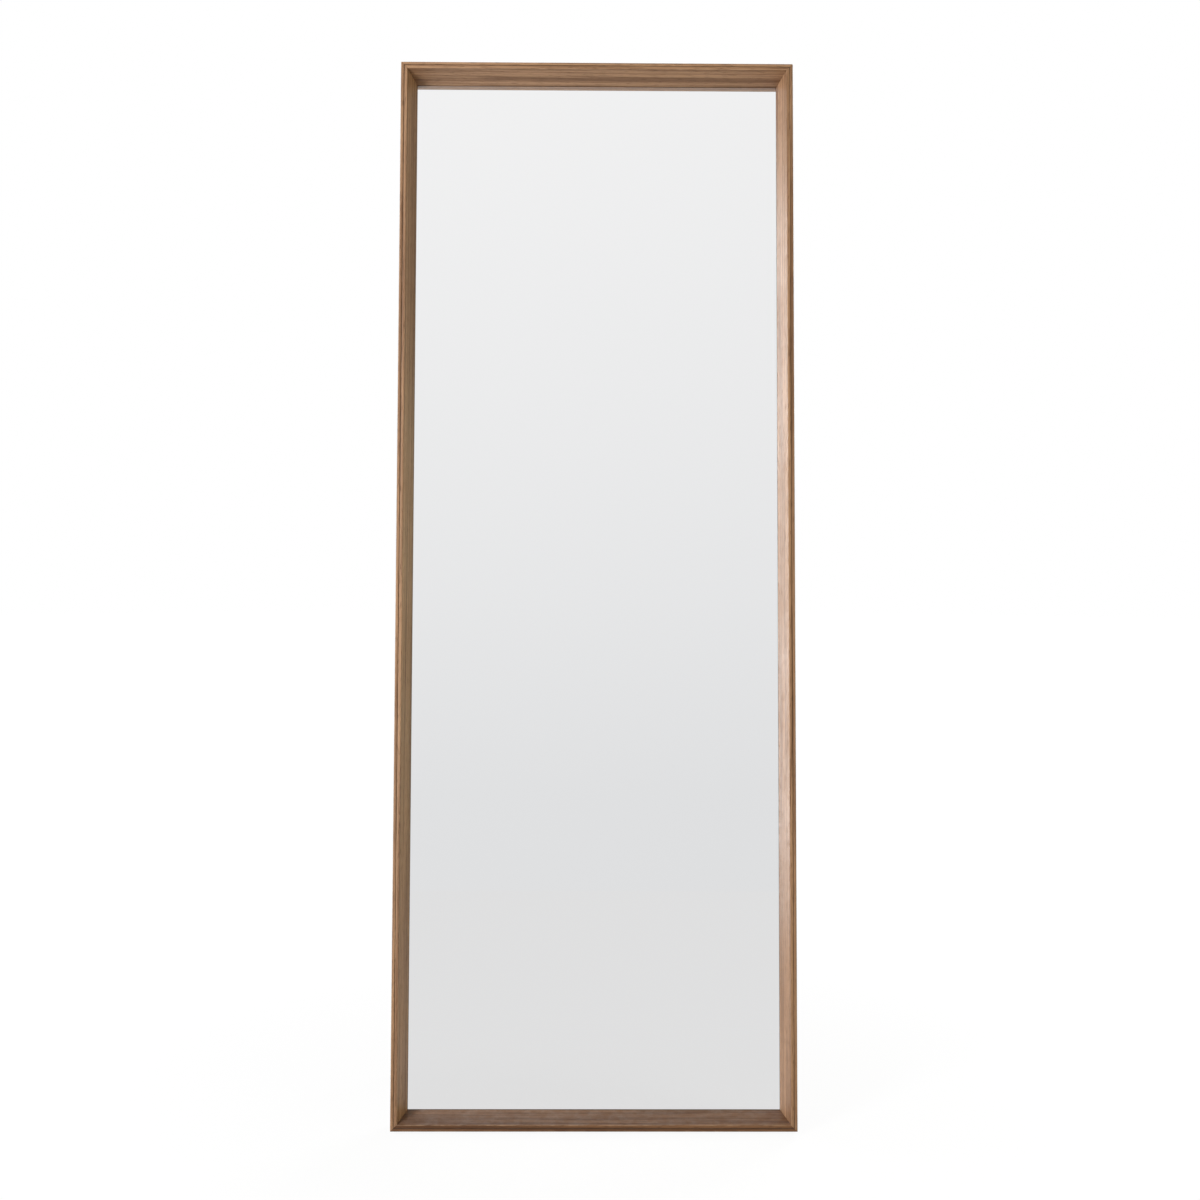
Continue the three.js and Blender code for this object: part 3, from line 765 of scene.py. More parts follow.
class Bench:
    """Turns meshes into finished pieces."""

    @staticmethod
    def piece(name: str, mesh: bpy.types.Mesh, place: Matrix, sharp: float = 32.0) -> bpy.types.Object:
        """Makes a finished piece whose place is in its mesh.

        Args:
            name: The piece's name.
            mesh: Its mesh, in the placement's coordinates.
            place: From those coordinates to the row frame.
            sharp: The angle in degrees past which an edge shades sharp.

        Returns:
            The piece, linked to the scene.
        """
        mesh.transform(place)
        work = bmesh.new()
        work.from_mesh(mesh)
        bmesh.ops.remove_doubles(work, verts=work.verts, dist=WELD)
        bmesh.ops.recalc_face_normals(work, faces=work.faces)
        work.to_mesh(mesh)
        work.free()
        for polygon in mesh.polygons:
            polygon.use_smooth = True
        mesh.set_sharp_from_angle(angle=math.radians(sharp))
        mesh.name = name
        made = bpy.data.objects.new(name, mesh)
        bpy.context.scene.collection.objects.link(made)
        return made

    @staticmethod
    def finish(made: bpy.types.Object, body: str, slot: str, *nodes: str) -> None:
        """Says what a piece rides on and which CAD nodes it stands for.

        Args:
            made: The piece.
            body: The CAD body that it moves with.
            slot: The record's material slot; not used.
            *nodes: The CAD nodes that it replaces.
        """
        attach(made, body)
        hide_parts(*nodes)
        LOG.info("%s: %d faces, rides on %s", made.name, len(made.data.polygons), body)

    @staticmethod
    def raw(name: str, points: list, edges: list, faces: list) -> bpy.types.Object:
        """An object straight from points, edges and faces, for a modifier to work on.

        Args:
            name: The object's name.
            points: Its vertices.
            edges: Its loose edges.
            faces: Its faces.

        Returns:
            The object, linked to the scene.
        """
        mesh = bpy.data.meshes.new(name)
        mesh.from_pydata(points, edges, faces)
        made = bpy.data.objects.new(name, mesh)
        bpy.context.scene.collection.objects.link(made)
        return made

    @staticmethod
    def grow(base: bpy.types.Object, tree: bpy.types.NodeTree,
             inputs: dict[str, object]) -> bpy.types.Mesh:
        """Runs a geometry tree on a base object and keeps the result as a plain mesh.

        Args:
            base: The object that the tree starts from; it is removed afterwards.
            tree: The geometry node group.
            inputs: The values of the tree's inputs, by name.

        Returns:
            The resulting mesh.
        """
        modifier = base.modifiers.new("grow", "NODES")
        modifier.node_group = tree
        for item in tree.interface.items_tree:
            if item.item_type == "SOCKET" and item.in_out == "INPUT" and item.name in inputs:
                modifier[item.identifier] = inputs[item.name]
        mesh = Bench.evaluated(base)
        base.modifiers.remove(modifier)
        bpy.data.objects.remove(base)
        return mesh

    @staticmethod
    def evaluated(base: bpy.types.Object) -> bpy.types.Mesh:
        """A plain mesh of an object as its modifiers leave it.

        Args:
            base: The object with its modifiers on.

        Returns:
            The mesh, with its attributes.
        """
        graph = bpy.context.evaluated_depsgraph_get()
        graph.update()
        shown = base.evaluated_get(graph)
        return bpy.data.meshes.new_from_object(shown, preserve_all_data_layers=True, depsgraph=graph)

    @staticmethod
    def turned(profile: list[tuple[float, float]], sides: int, axis: str = "X") -> bpy.types.Mesh:
        """A solid of revolution.

        Args:
            profile: Pairs of radius and distance along the axis, from end to end.
            sides: How many faces go round it.
            axis: The axis, X, Y or Z.

        Returns:
            The closed mesh, with an "edge" value on its rims.
        """
        mesh = bpy.data.meshes.new("turned")
        work = bmesh.new()
        edge = work.verts.layers.float.new("edge")
        rings = []
        for radius, along in profile:
            steps = 1 if radius < ON_AXIS else sides
            ring = []
            for i in range(steps):
                angle = 2.0 * math.pi * i / sides
                u, v = radius * math.cos(angle), radius * math.sin(angle)
                place = {"X": (along, u, v), "Y": (v, along, u), "Z": (u, v, along)}[axis]
                ring.append(work.verts.new(place))
            rings.append(ring)
        for a, b in zip(rings, rings[1:]):
            for i in range(sides):
                corners = [a[i % len(a)], a[(i + 1) % len(a)], b[(i + 1) % len(b)], b[i % len(b)]]
                unique = list(dict.fromkeys(corners))
                if len(unique) > 2:
                    work.faces.new(unique)
        widest = max(radius for radius, _ in profile)
        for (radius, _), ring in zip(profile, rings):
            for vert in ring:
                vert[edge] = 1.0 if radius > RIM_SHARE * widest else 0.0
        bmesh.ops.recalc_face_normals(work, faces=work.faces)
        work.to_mesh(mesh)
        work.free()
        return mesh

    @staticmethod
    def slab(outline: list[tuple[float, float]], thickness: float, basis: Matrix,
             bevel: float) -> bpy.types.Mesh:
        """A flat outline given a thickness, with its sharp edges eased.

        Args:
            outline: The corners in order, in the outline's own plane.
            thickness: How far it is extruded.
            basis: Turns outline x, y and the extrusion to the wanted axes, and places them.
            bevel: Width of the eased edges; 0 leaves them sharp.

        Returns:
            The closed mesh, with an "edge" value on the eased edges.
        """
        mesh = bpy.data.meshes.new("slab")
        work = bmesh.new()
        edge = work.verts.layers.float.new("edge")
        face = work.faces.new([work.verts.new((x, y, 0.0)) for x, y in outline])
        grown = bmesh.ops.extrude_face_region(work, geom=[face])
        moved = [v for v in grown["geom"] if isinstance(v, bmesh.types.BMVert)]
        bmesh.ops.translate(work, verts=moved, vec=(0.0, 0.0, thickness))
        bmesh.ops.recalc_face_normals(work, faces=work.faces)
        if bevel > 0.0:
            shared = [seam for seam in work.edges if len(seam.link_faces) == 2]
            keen = [seam for seam in shared if seam.calc_face_angle(0.0) > KEEN_ANGLE]
            eased = bmesh.ops.bevel(
                work, geom=keen, offset=bevel, segments=2, profile=0.5, affect="EDGES"
            )
            for vert in eased["verts"]:
                vert[edge] = 1.0
        work.transform(basis)
        bmesh.ops.recalc_face_normals(work, faces=work.faces)
        work.to_mesh(mesh)
        work.free()
        return mesh

    @staticmethod
    def joined(meshes: list[bpy.types.Mesh], places: list[Matrix]) -> bpy.types.Mesh:
        """Several meshes as one.

        Args:
            meshes: The meshes.
            places: Where each goes.

        Returns:
            One mesh that holds them all.
        """
        work = bmesh.new()
        for mesh, place in zip(meshes, places):
            copy = mesh.copy()
            copy.transform(place)
            work.from_mesh(copy)
            bpy.data.meshes.remove(copy)
        whole = bpy.data.meshes.new("joined")
        work.to_mesh(whole)
        work.free()
        return whole


def arc(centre: tuple[float, float], radius: float, start: float, end: float,
        steps: int) -> list[tuple[float, float]]:
    """Points on a circle.

    Args:
        centre: The circle's centre.
        radius: Its radius.
        start: The first point's angle in degrees.
        end: The last point's angle in degrees.
        steps: How many spans lie between them.

    Returns:
        The points, first and last included.
    """
    points = []
    for i in range(steps + 1):
        angle = math.radians(start + (end - start) * i / steps)
        points.append((centre[0] + radius * math.cos(angle), centre[1] + radius * math.sin(angle)))
    return points


def dome(radius: float, start: float, height: float, side: float,
         angles: tuple[float, ...]) -> list[tuple[float, float]]:
    """The profile of a domed head, from the top of its upright side to its middle.

    Args:
        radius: The head's radius.
        start: Where the head starts along its axis.
        height: From there to its top.
        side: The share of the height that is upright.
        angles: Degrees up the dome at which it is given a point.

    Returns:
        Pairs of radius and distance along the axis.
    """
    points = [(radius, start + side * height)]
    for angle in map(math.radians, angles):
        rise = side + (1.0 - side) * math.sin(angle)
        points.append((radius * math.cos(angle), start + height * rise))
    return [*points, (0.0, start + height)]


# ------------------------------------------------------------------------------ geometry trees


class Trees:
    """Geometry node groups for the mouldings, the bent tubes and the sets of screws."""

    @staticmethod
    def moulding() -> bpy.types.NodeTree:
        """A mitred length of moulding, grown from the face of its section.

        Returns:
            The geometry node group.
        """
        graph, given, out = open_tree(
            "GeometryNodeTree",
            "mitred moulding",
            {
                "Geometry": ("NodeSocketGeometry", None),
                "Length": ("NodeSocketFloat", 1.0),
                "Relief": ("NodeSocketFloat", 0.0),
                "Slot Size": ("NodeSocketVector", None),
                "Slot Inset": ("NodeSocketFloat", 0.0),
                "Slot Depth": ("NodeSocketFloat", 0.0),
                "Figure Offset": ("NodeSocketVector", None),
                "Deepness": ("NodeSocketFloat", 0.0),
                "Material": ("NodeSocketMaterial", None),
            },
            {"Geometry": "NodeSocketGeometry"},
        )
        take = given.outputs
        grown = graph.add(
            "GeometryNodeExtrudeMesh",
            {"Mesh": take["Geometry"], "Offset": (0.0, 0.0, 1.0), "Offset Scale": take["Length"],
             "Individual": False},
            mode="FACES",
        ).outputs["Mesh"]
        foot = graph.add("GeometryNodeFlipFaces", {"Mesh": take["Geometry"]}).outputs[0]
        both = graph.add("GeometryNodeJoinGeometry")
        graph.tree.links.new(grown, both.inputs[0])
        graph.tree.links.new(foot, both.inputs[0])
        joint = {"Geometry": both.outputs[0], "Distance": 0.001 * MM}
        closed = graph.add("GeometryNodeMergeByDistance", joint)
        place = graph.add("GeometryNodeInputPosition").outputs[0]
        parts = graph.add("ShaderNodeSeparateXYZ", {0: place}).outputs
        set_back = graph.math("ADD", parts[0], take["Relief"])
        span = graph.math("SUBTRACT", take["Length"], graph.math("MULTIPLY", set_back, 2.0))
        share = graph.math("DIVIDE", parts[2], take["Length"])
        mitred = graph.math("ADD", set_back, graph.math("MULTIPLY", share, span))
        target = graph.add("ShaderNodeCombineXYZ", {0: parts[0], 1: parts[1], 2: mitred}).outputs[0]
        body = graph.add("GeometryNodeSetPosition", {"Geometry": closed.outputs[0], "Position": target})
        block = graph.add("GeometryNodeMeshCube", {"Size": take["Slot Size"]}).outputs["Mesh"]
        top = graph.math("SUBTRACT", take["Length"], take["Slot Inset"])
        slots = []
        for height, turn in ((take["Slot Inset"], 45.0), (top, -45.0)):
            spot = graph.add(
                "ShaderNodeCombineXYZ", {0: take["Slot Inset"], 1: take["Slot Depth"], 2: height}
            ).outputs[0]
            feeds = {"Geometry": block, "Translation": spot, "Rotation": (0.0, math.radians(turn), 0.0)}
            slots.append(graph.add("GeometryNodeTransform", feeds).outputs[0])
        slotted = graph.add(
            "GeometryNodeMeshBoolean", {0: body.outputs[0]}, operation="DIFFERENCE", solver="EXACT"
        )
        for slot in slots:
            graph.tree.links.new(slot, slotted.inputs[1])
        figure = graph.shifted(graph.add("GeometryNodeInputPosition").outputs[0], take["Figure Offset"])
        named = graph.add(
            "GeometryNodeStoreNamedAttribute",
            {"Geometry": slotted.outputs[0], "Name": "grain"},
            data_type="FLOAT_VECTOR",
            domain="POINT",
        )
        graph.tree.links.new(figure, named.inputs["Value"])
        # Stores each side's painted shade value for the timber finish.
        shaded = graph.add(
            "GeometryNodeStoreNamedAttribute",
            {"Geometry": named.outputs[0], "Name": "deepness"},
            data_type="FLOAT",
            domain="POINT",
        )
        graph.tree.links.new(take["Deepness"], shaded.inputs["Value"])
        Trees._close(graph, shaded.outputs[0], take["Material"], out)
        return graph.tree

    @staticmethod
    def bent_tube() -> bpy.types.NodeTree:
        """A round tube or wire swept along a path, with its corners bent to a radius.

        Returns:
            The geometry node group.
        """
        graph, given, out = open_tree(
            "GeometryNodeTree",
            "bent tube",
            {
                "Geometry": ("NodeSocketGeometry", None),
                "Radius": ("NodeSocketFloat", 0.005),
                "Bend Radius": ("NodeSocketFloat", 0.0),
                "Bend Steps": ("NodeSocketInt", 1),
                "Sides": ("NodeSocketInt", 16),
                "Material": ("NodeSocketMaterial", None),
            },
            {"Geometry": "NodeSocketGeometry"},
        )
        take = given.outputs
        path = graph.add("GeometryNodeMeshToCurve", {0: take["Geometry"]}).outputs[0]
        bent = graph.add(
            "GeometryNodeFilletCurve",
            {"Curve": path, "Radius": take["Bend Radius"], "Limit Radius": True},
            mode="POLY",
        )
        graph.tree.links.new(take["Bend Steps"], bent.inputs["Count"])
        round_section = graph.add(
            "GeometryNodeCurvePrimitiveCircle", {"Resolution": take["Sides"], "Radius": take["Radius"]}
        ).outputs[0]
        swept = graph.add(
            "GeometryNodeCurveToMesh",
            {"Curve": bent.outputs[0], "Profile Curve": round_section, "Fill Caps": True},
        ).outputs[0]
        Trees._close(graph, swept, take["Material"], out)
        return graph.tree

    @staticmethod
    def screw_set() -> bpy.types.NodeTree:
        """A screw on every point, each driven to its own angle.

        Returns:
            The geometry node group.
        """
        graph, given, out = open_tree(
            "GeometryNodeTree",
            "screw set",
            {
                "Geometry": ("NodeSocketGeometry", None),
                "Screw": ("NodeSocketObject", None),
                "Seed": ("NodeSocketInt", 0),
                "Material": ("NodeSocketMaterial", None),
            },
            {"Geometry": "NodeSocketGeometry"},
        )
        take = given.outputs
        screw = graph.add("GeometryNodeObjectInfo", {"Object": take["Screw"]}).outputs["Geometry"]
        driven = graph.add("FunctionNodeRandomValue", {"Seed": take["Seed"]}, data_type="FLOAT")
        driven.inputs[2].default_value = 0.0
        driven.inputs[3].default_value = math.pi
        spin = graph.add("ShaderNodeCombineXYZ", {1: driven.outputs[1]}).outputs[0]
        turn = graph.add("FunctionNodeEulerToRotation", {0: spin}).outputs[0]
        placed = graph.add(
            "GeometryNodeInstanceOnPoints",
            {"Points": take["Geometry"], "Instance": screw, "Rotation": turn},
        ).outputs[0]
        Trees._close(graph, placed, take["Material"], out)
        return graph.tree

    @staticmethod
    def _close(graph: NodeGraph, shape: Feed, material: Feed, out: bpy.types.Node) -> None:
        """Ends a tree with Realize Instances and Set Material.

        Args:
            graph: The tree's graph.
            shape: The geometry so far.
            material: The material's socket.
            out: The tree's output node.
        """
        real = graph.add("GeometryNodeRealizeInstances", {0: shape}).outputs[0]
        dressed = graph.add("GeometryNodeSetMaterial", {"Geometry": real, "Material": material})
        graph.tree.links.new(dressed.outputs[0], out.inputs[0])


# ------------------------------------------------------------------------------ sub-assemblies


@dataclass
class TimberFrame:
    """The four mitred mouldings and the plywood tongues that key their corners."""

    place: Placement
    finishes: Finishes
    depth: float = 53.0 * MM
    front_edge: float = 9.5 * MM
    sight_inset: float = 20.5 * MM
    outer_arris: float = 1.2 * MM
    inner_arris: float = 0.5 * MM
    shading_ease: float = 1.3 * MM
    quirk_width: float = 1.2 * MM
    quirk_depth: float = 0.8 * MM
    quirk_lip: float = 0.25 * MM
    quirk_dip: float = 0.05 * MM
    glass_seat: float = 42.8 * MM
    glass_rebate: float = 14.0 * MM
    board_seat: float = 48.4 * MM
    rear_wall: float = 5.0 * MM
    rear_ease: float = 0.3 * MM
    mitre_relief: float = 0.2 * MM / math.sqrt(2.0)
    slot_size: tuple[float, float, float] = (13.6 * MM, 34.6 * MM, 3.6 * MM)
    slot_inset: float = 7.0 * MM
    slot_depth: float = 23.4 * MM

    def section(self) -> list[tuple[float, float, float, float]]:
        """The moulding's section, from the outer front corner round to the outer rear one.

        Returns:
            For each corner its inset, its depth, how worn it is and how much painted shade darkens it.
        """
        slope = (self.sight_inset - self.front_edge) / self.glass_seat
        quirk, half = self.front_edge / 2.0, self.quirk_width / 2.0
        ease, arris, fine = self.shading_ease, self.outer_arris, self.inner_arris
        rounded = arc((arris, arris), arris, 180.0, 270.0, 6)
        # The last value of each corner is painted shade: in the quirk groove, at the foot of the sight
        # wall and in the rebates.
        points = [(0.0, arris + ease, 0.0, 0.0)]
        points += [(x, y, math.sin(math.pi * (i + 1) / 8.0), 0.0) for i, (x, y) in enumerate(rounded)]
        points += [
            (arris + ease, 0.0, 0.0, 0.0),
            (quirk - half - self.quirk_lip, 0.0, 0.0, 0.0),
            (quirk - half, self.quirk_dip, 0.25, 0.35),
            (quirk, self.quirk_depth, 0.0, 1.0),
            (quirk + half, self.quirk_dip, 0.25, 0.35),
            (quirk + half + self.quirk_lip, 0.0, 0.0, 0.0),
            (self.front_edge - fine - 0.9 * MM, 0.0, 0.0, 0.0),
            (self.front_edge - fine, 0.0, 0.6, 0.0),
            (self.front_edge - 0.25 * fine, 0.2 * fine, 0.9, 0.0),
            (self.front_edge + slope * fine, fine, 0.6, 0.0),
            (self.front_edge + slope * (fine + ease), fine + ease, 0.0, 0.0),
            (self.sight_inset - slope * 1.5 * MM, self.glass_seat - 1.5 * MM, 0.0, 0.0),
            (self.sight_inset, self.glass_seat, 0.0, 0.9),
            (self.glass_rebate, self.glass_seat, 0.0, 1.0),
            (self.glass_rebate, self.board_seat, 0.0, 0.6),
            (self.rear_wall, self.board_seat, 0.0, 0.6),
            (self.rear_wall, self.depth - self.rear_ease, 0.3, 0.0),
            (self.rear_wall - self.rear_ease, self.depth, 0.5, 0.0),
            (arris + ease, self.depth, 0.0, 0.0),
        ]
        rear = arc((arris, self.depth - arris), arris, 90.0, 180.0, 6)
        points += [(x, y, math.sin(math.pi * (i + 1) / 8.0), 0.0) for i, (x, y) in enumerate(rear)]
        points.append((0.0, self.depth - arris - ease, 0.0, 0.0))
        return points

    def build(self) -> None:
        """Builds and dresses the four sides and dresses the tongues."""
        tree = Trees.moulding()
        width, height = self.place.width, self.place.height
        corners = {
            Side.LEFT: (-width / 2.0, 0.0, height),
            Side.TOP: (-width / 2.0, height, width),
            Side.RIGHT: (width / 2.0, height, height),
            Side.BOTTOM: (width / 2.0, 0.0, width),
        }
        for side, (x, z, length) in corners.items():
            node, turn, offset, deepness = side.value
            mesh = self._side(tree, length, offset, deepness)
            spot = Matrix.Translation((x, 0.0, z)) @ Matrix.Rotation(math.radians(turn), 4, "Y")
            made = Bench.piece(f"{node}_moulding", mesh, self.place.panel @ spot)
            Bench.finish(made, "panel", "frame_wood", node)
        for level in ("bottom", "top"):
            for hand in Hand:
                tongue = self.place.nodes[f"mitre_spline_{level}_{hand.word}"]
                tongue.data.materials.clear()
                tongue.data.materials.append(self.finishes.plywood)

    def _side(self, tree: bpy.types.NodeTree, length: float, offset: tuple[float, float, float],
              deepness: float) -> bpy.types.Mesh:
        """Grows one side along Z.

        Args:
            tree: The moulding tree.
            length: The side's length over its mitres.
            offset: Where in the timber's figure it was cut from.
            deepness: How strongly painted shade darkens the side, from 0 to 1.

        Returns:
            The side's mesh.
        """
        section = self.section()
        corners = [(x, y, 0.0) for x, y, _, _ in section]
        base = Bench.raw("section", corners, [], [list(range(len(section)))])
        # The recess layer carries the painted crease shade of each corner.
        for label, index in (("edge", 2), ("recess", 3)):
            layer = base.data.attributes.new(label, "FLOAT", "POINT")
            layer.data.foreach_set("value", [point[index] for point in section])
        return Bench.grow(base, tree, {
            "Length": length,
            "Relief": self.mitre_relief,
            "Slot Size": self.slot_size,
            "Slot Inset": self.slot_inset,
            "Slot Depth": self.slot_depth,
            "Figure Offset": offset,
            "Deepness": deepness,
            "Material": self.finishes.timber,
        })


@dataclass
class GlassPack:
    """The silvered pane, the foam tapes behind it, the backing board and its screws."""

    place: Placement
    finishes: Finishes
    seamed_edge: float = 0.5 * MM
    sight_inset: float = 20.5 * MM
    rim_width: float = 0.9 * MM

    def build(self) -> None:
        """Builds and dresses the whole pack."""
        self._pane()
        for number in range(1, 5):
            self._dress(f"mounting_tape_{number}", self.finishes.foam)
        self._dress("backing_board", self.finishes.fibreboard)
        names = [f"board_screw_{number:02d}" for number in range(1, 19)]
        BOARD_SCREWS.build("board_screws", names, self.place, self.finishes.zinc,
                           "board_screw_steel", seed=3)

    def _dress(self, node: str, material: bpy.types.Material) -> None:
        """Gives a CAD node that is kept its finish."""
        slots = self.place.nodes[node].data.materials
        slots.clear()
        slots.append(material)

    def _pane(self) -> None:
        """Builds the pane with seamed edges and a thin painted shadow line at the sight edge."""
        low, high = self.place.local_box(self.place.panel, "mirror_glass")
        across, up, depth, seam = high.x, (high.z - low.z) / 2.0, low.y, self.seamed_edge
        middle = (high.z + low.z) / 2.0
        sight_x = self.place.width / 2.0 - self.sight_inset
        sight_z = self.place.height / 2.0 - self.sight_inset
        # Each ring: half width, half height, depth, and the strength of the painted shadow line at the
        # sight edge.
        rings = [
            (across - seam, up - seam, high.y, 1.0),
            (across, up, high.y - seam, 1.0),
            (across, up, depth + seam, 1.0),
            (across - seam, up - seam, depth, 1.0),
            (sight_x, sight_z, depth, 1.0),
            (sight_x - 0.35 * self.rim_width, sight_z - 0.35 * self.rim_width, depth, 0.55),
            (sight_x - self.rim_width, sight_z - self.rim_width, depth, 0.0),
        ]
        mesh = bpy.data.meshes.new("pane")
        work = bmesh.new()
        rim = work.verts.layers.float.new("rim")
        loops = []
        for x, z, y, dark in rings:
            corners = [(-x, y, middle - z), (x, y, middle - z), (x, y, middle + z), (-x, y, middle + z)]
            loop = [work.verts.new(corner) for corner in corners]
            for vert in loop:
                vert[rim] = dark
            loops.append(loop)
        work.faces.new(loops[0])
        work.faces.new(loops[-1])
        for a, b in zip(loops, loops[1:]):
            for i in range(4):
                work.faces.new([a[i], a[(i + 1) % 4], b[(i + 1) % 4], b[i]])
        work.to_mesh(mesh)
        work.free()
        mesh.materials.append(self.finishes.silver)
        made = Bench.piece("silvered_pane", mesh, self.place.panel, sharp=10.0)
        Bench.finish(made, "panel", "silvered_glass", "mirror_glass")


@dataclass(frozen=True)
class Screws:
    """Cross-headed screws of one kind."""

    style: HeadStyle
    head_radius: float
    shank_radius: float
    length: float
    head_height: float = 2.0 * MM
    recess_span: float = 3.0 * MM
    recess_width: float = 0.75 * MM
    recess_depth: float = 1.1 * MM
    recess_taper: float = 0.55
    core_share: float = 0.8
    collar: float = 1.0 * MM
    thread_pitch: float = 0.9 * MM
    thread_end: float = 4.5 * MM
    tip_length: float = 3.5 * MM
    sides: int = 20

    def build(self, name: str, nodes: list[str], place: Placement, material: bpy.types.Material,
              slot: str, seed: int) -> None:
        """Sets a screw in place of each CAD node, as one piece.

        Args:
            name: The piece's name.
            nodes: The CAD screws that it replaces.
            place: Where the panel is.
            material: The screws' finish.
            slot: The record's material slot.
            seed: Picks the angle that each recess is left at.
        """
        points = []
        for node in nodes:
            low, high = place.local_box(place.panel, node)
            points.append(((low.x + high.x) / 2.0, high.y, (low.z + high.z) / 2.0))
        model = self._model()
        mesh = Bench.grow(
            Bench.raw("screw places", points, [], []),
            Trees.screw_set(),
            {"Screw": model, "Seed": seed, "Material": material},
        )
        bpy.data.objects.remove(model)
        made = Bench.piece(name, mesh, place.panel)
        Bench.finish(made, "panel", slot, *nodes)

    def _model(self) -> bpy.types.Object:
        """One screw along Y with the top of its head at the origin.

        Returns:
            The screw's object, with its recess cut.
        """
        head, shank, end = self.head_radius, self.shank_radius, self.length
        if self.style is HeadStyle.PAN:
            end += self.head_height
            high = self.head_height
            top = [(0.0, 0.0), (0.45 * head, -0.01 * high), (0.75 * head, -0.1 * high),
                   (0.93 * head, -0.28 * high), (head, -0.5 * high), (head, -high), (shank, -high)]
        else:
            top = [(0.0, 0.0), (0.93 * head, 0.0), (head, -0.12 * MM), (head, -0.3 * MM),
                   (shank, -(head - shank) - 0.2 * MM)]
        thread = []
        core, along = shank * self.core_share, top[-1][1] - self.collar
        while along > -end + self.thread_end:
            thread += [(core, along), (shank, along - self.thread_pitch / 2.0)]
            along -= self.thread_pitch
        tip = [(core, -end + self.tip_length), (shank * 0.25, -end + 0.2 * MM), (0.0, -end)]
        body = Bench.turned(top + thread + tip, self.sides, "Y")
        made = bpy.data.objects.new("screw", body)
        bpy.context.scene.collection.objects.link(made)
        bit = bpy.data.objects.new("bit", self._bit())
        bpy.context.scene.collection.objects.link(bit)
        cut = made.modifiers.new("recess", "BOOLEAN")
        cut.object = bit
        cut.operation = "DIFFERENCE"
        cut.solver = "EXACT"
        mesh = Bench.evaluated(made)
        made.modifiers.clear()
        made.data = mesh
        bpy.data.objects.remove(bit)
        return made

    def _bit(self) -> bpy.types.Mesh:
        """The tapered cross that cuts a recess.

        Returns:
            A closed mesh that points along -Y.
        """
        half, thin, deep = self.recess_span / 2.0, self.recess_width / 2.0, self.recess_depth
        outline = [(half, thin), (thin, thin), (thin, half), (-thin, half), (-thin, thin), (-half, thin),
                   (-half, -thin), (-thin, -thin), (-thin, -half), (thin, -half), (thin, -thin),
                   (half, -thin)]
        mesh = bpy.data.meshes.new("bit")
        work = bmesh.new()
        layers = []
        for y, share in ((0.5 * MM, 1.08), (-deep, self.recess_taper)):
            layers.append([work.verts.new((share * x, y, share * z)) for x, z in outline])
        work.faces.new(layers[0])
        work.faces.new(list(reversed(layers[1])))
        for i in range(len(outline)):
            j = (i + 1) % len(outline)
            work.faces.new([layers[0][i], layers[0][j], layers[1][j], layers[1][i]])
        bmesh.ops.recalc_face_normals(work, faces=work.faces)
        work.to_mesh(mesh)
        work.free()
        return mesh


BOARD_SCREWS = Screws(HeadStyle.COUNTERSUNK, head_radius=3.2 * MM, shank_radius=1.5 * MM, length=16.0 * MM)
PAN_SCREWS = Screws(HeadStyle.PAN, head_radius=2.8 * MM, shank_radius=1.5 * MM, length=14.0 * MM)


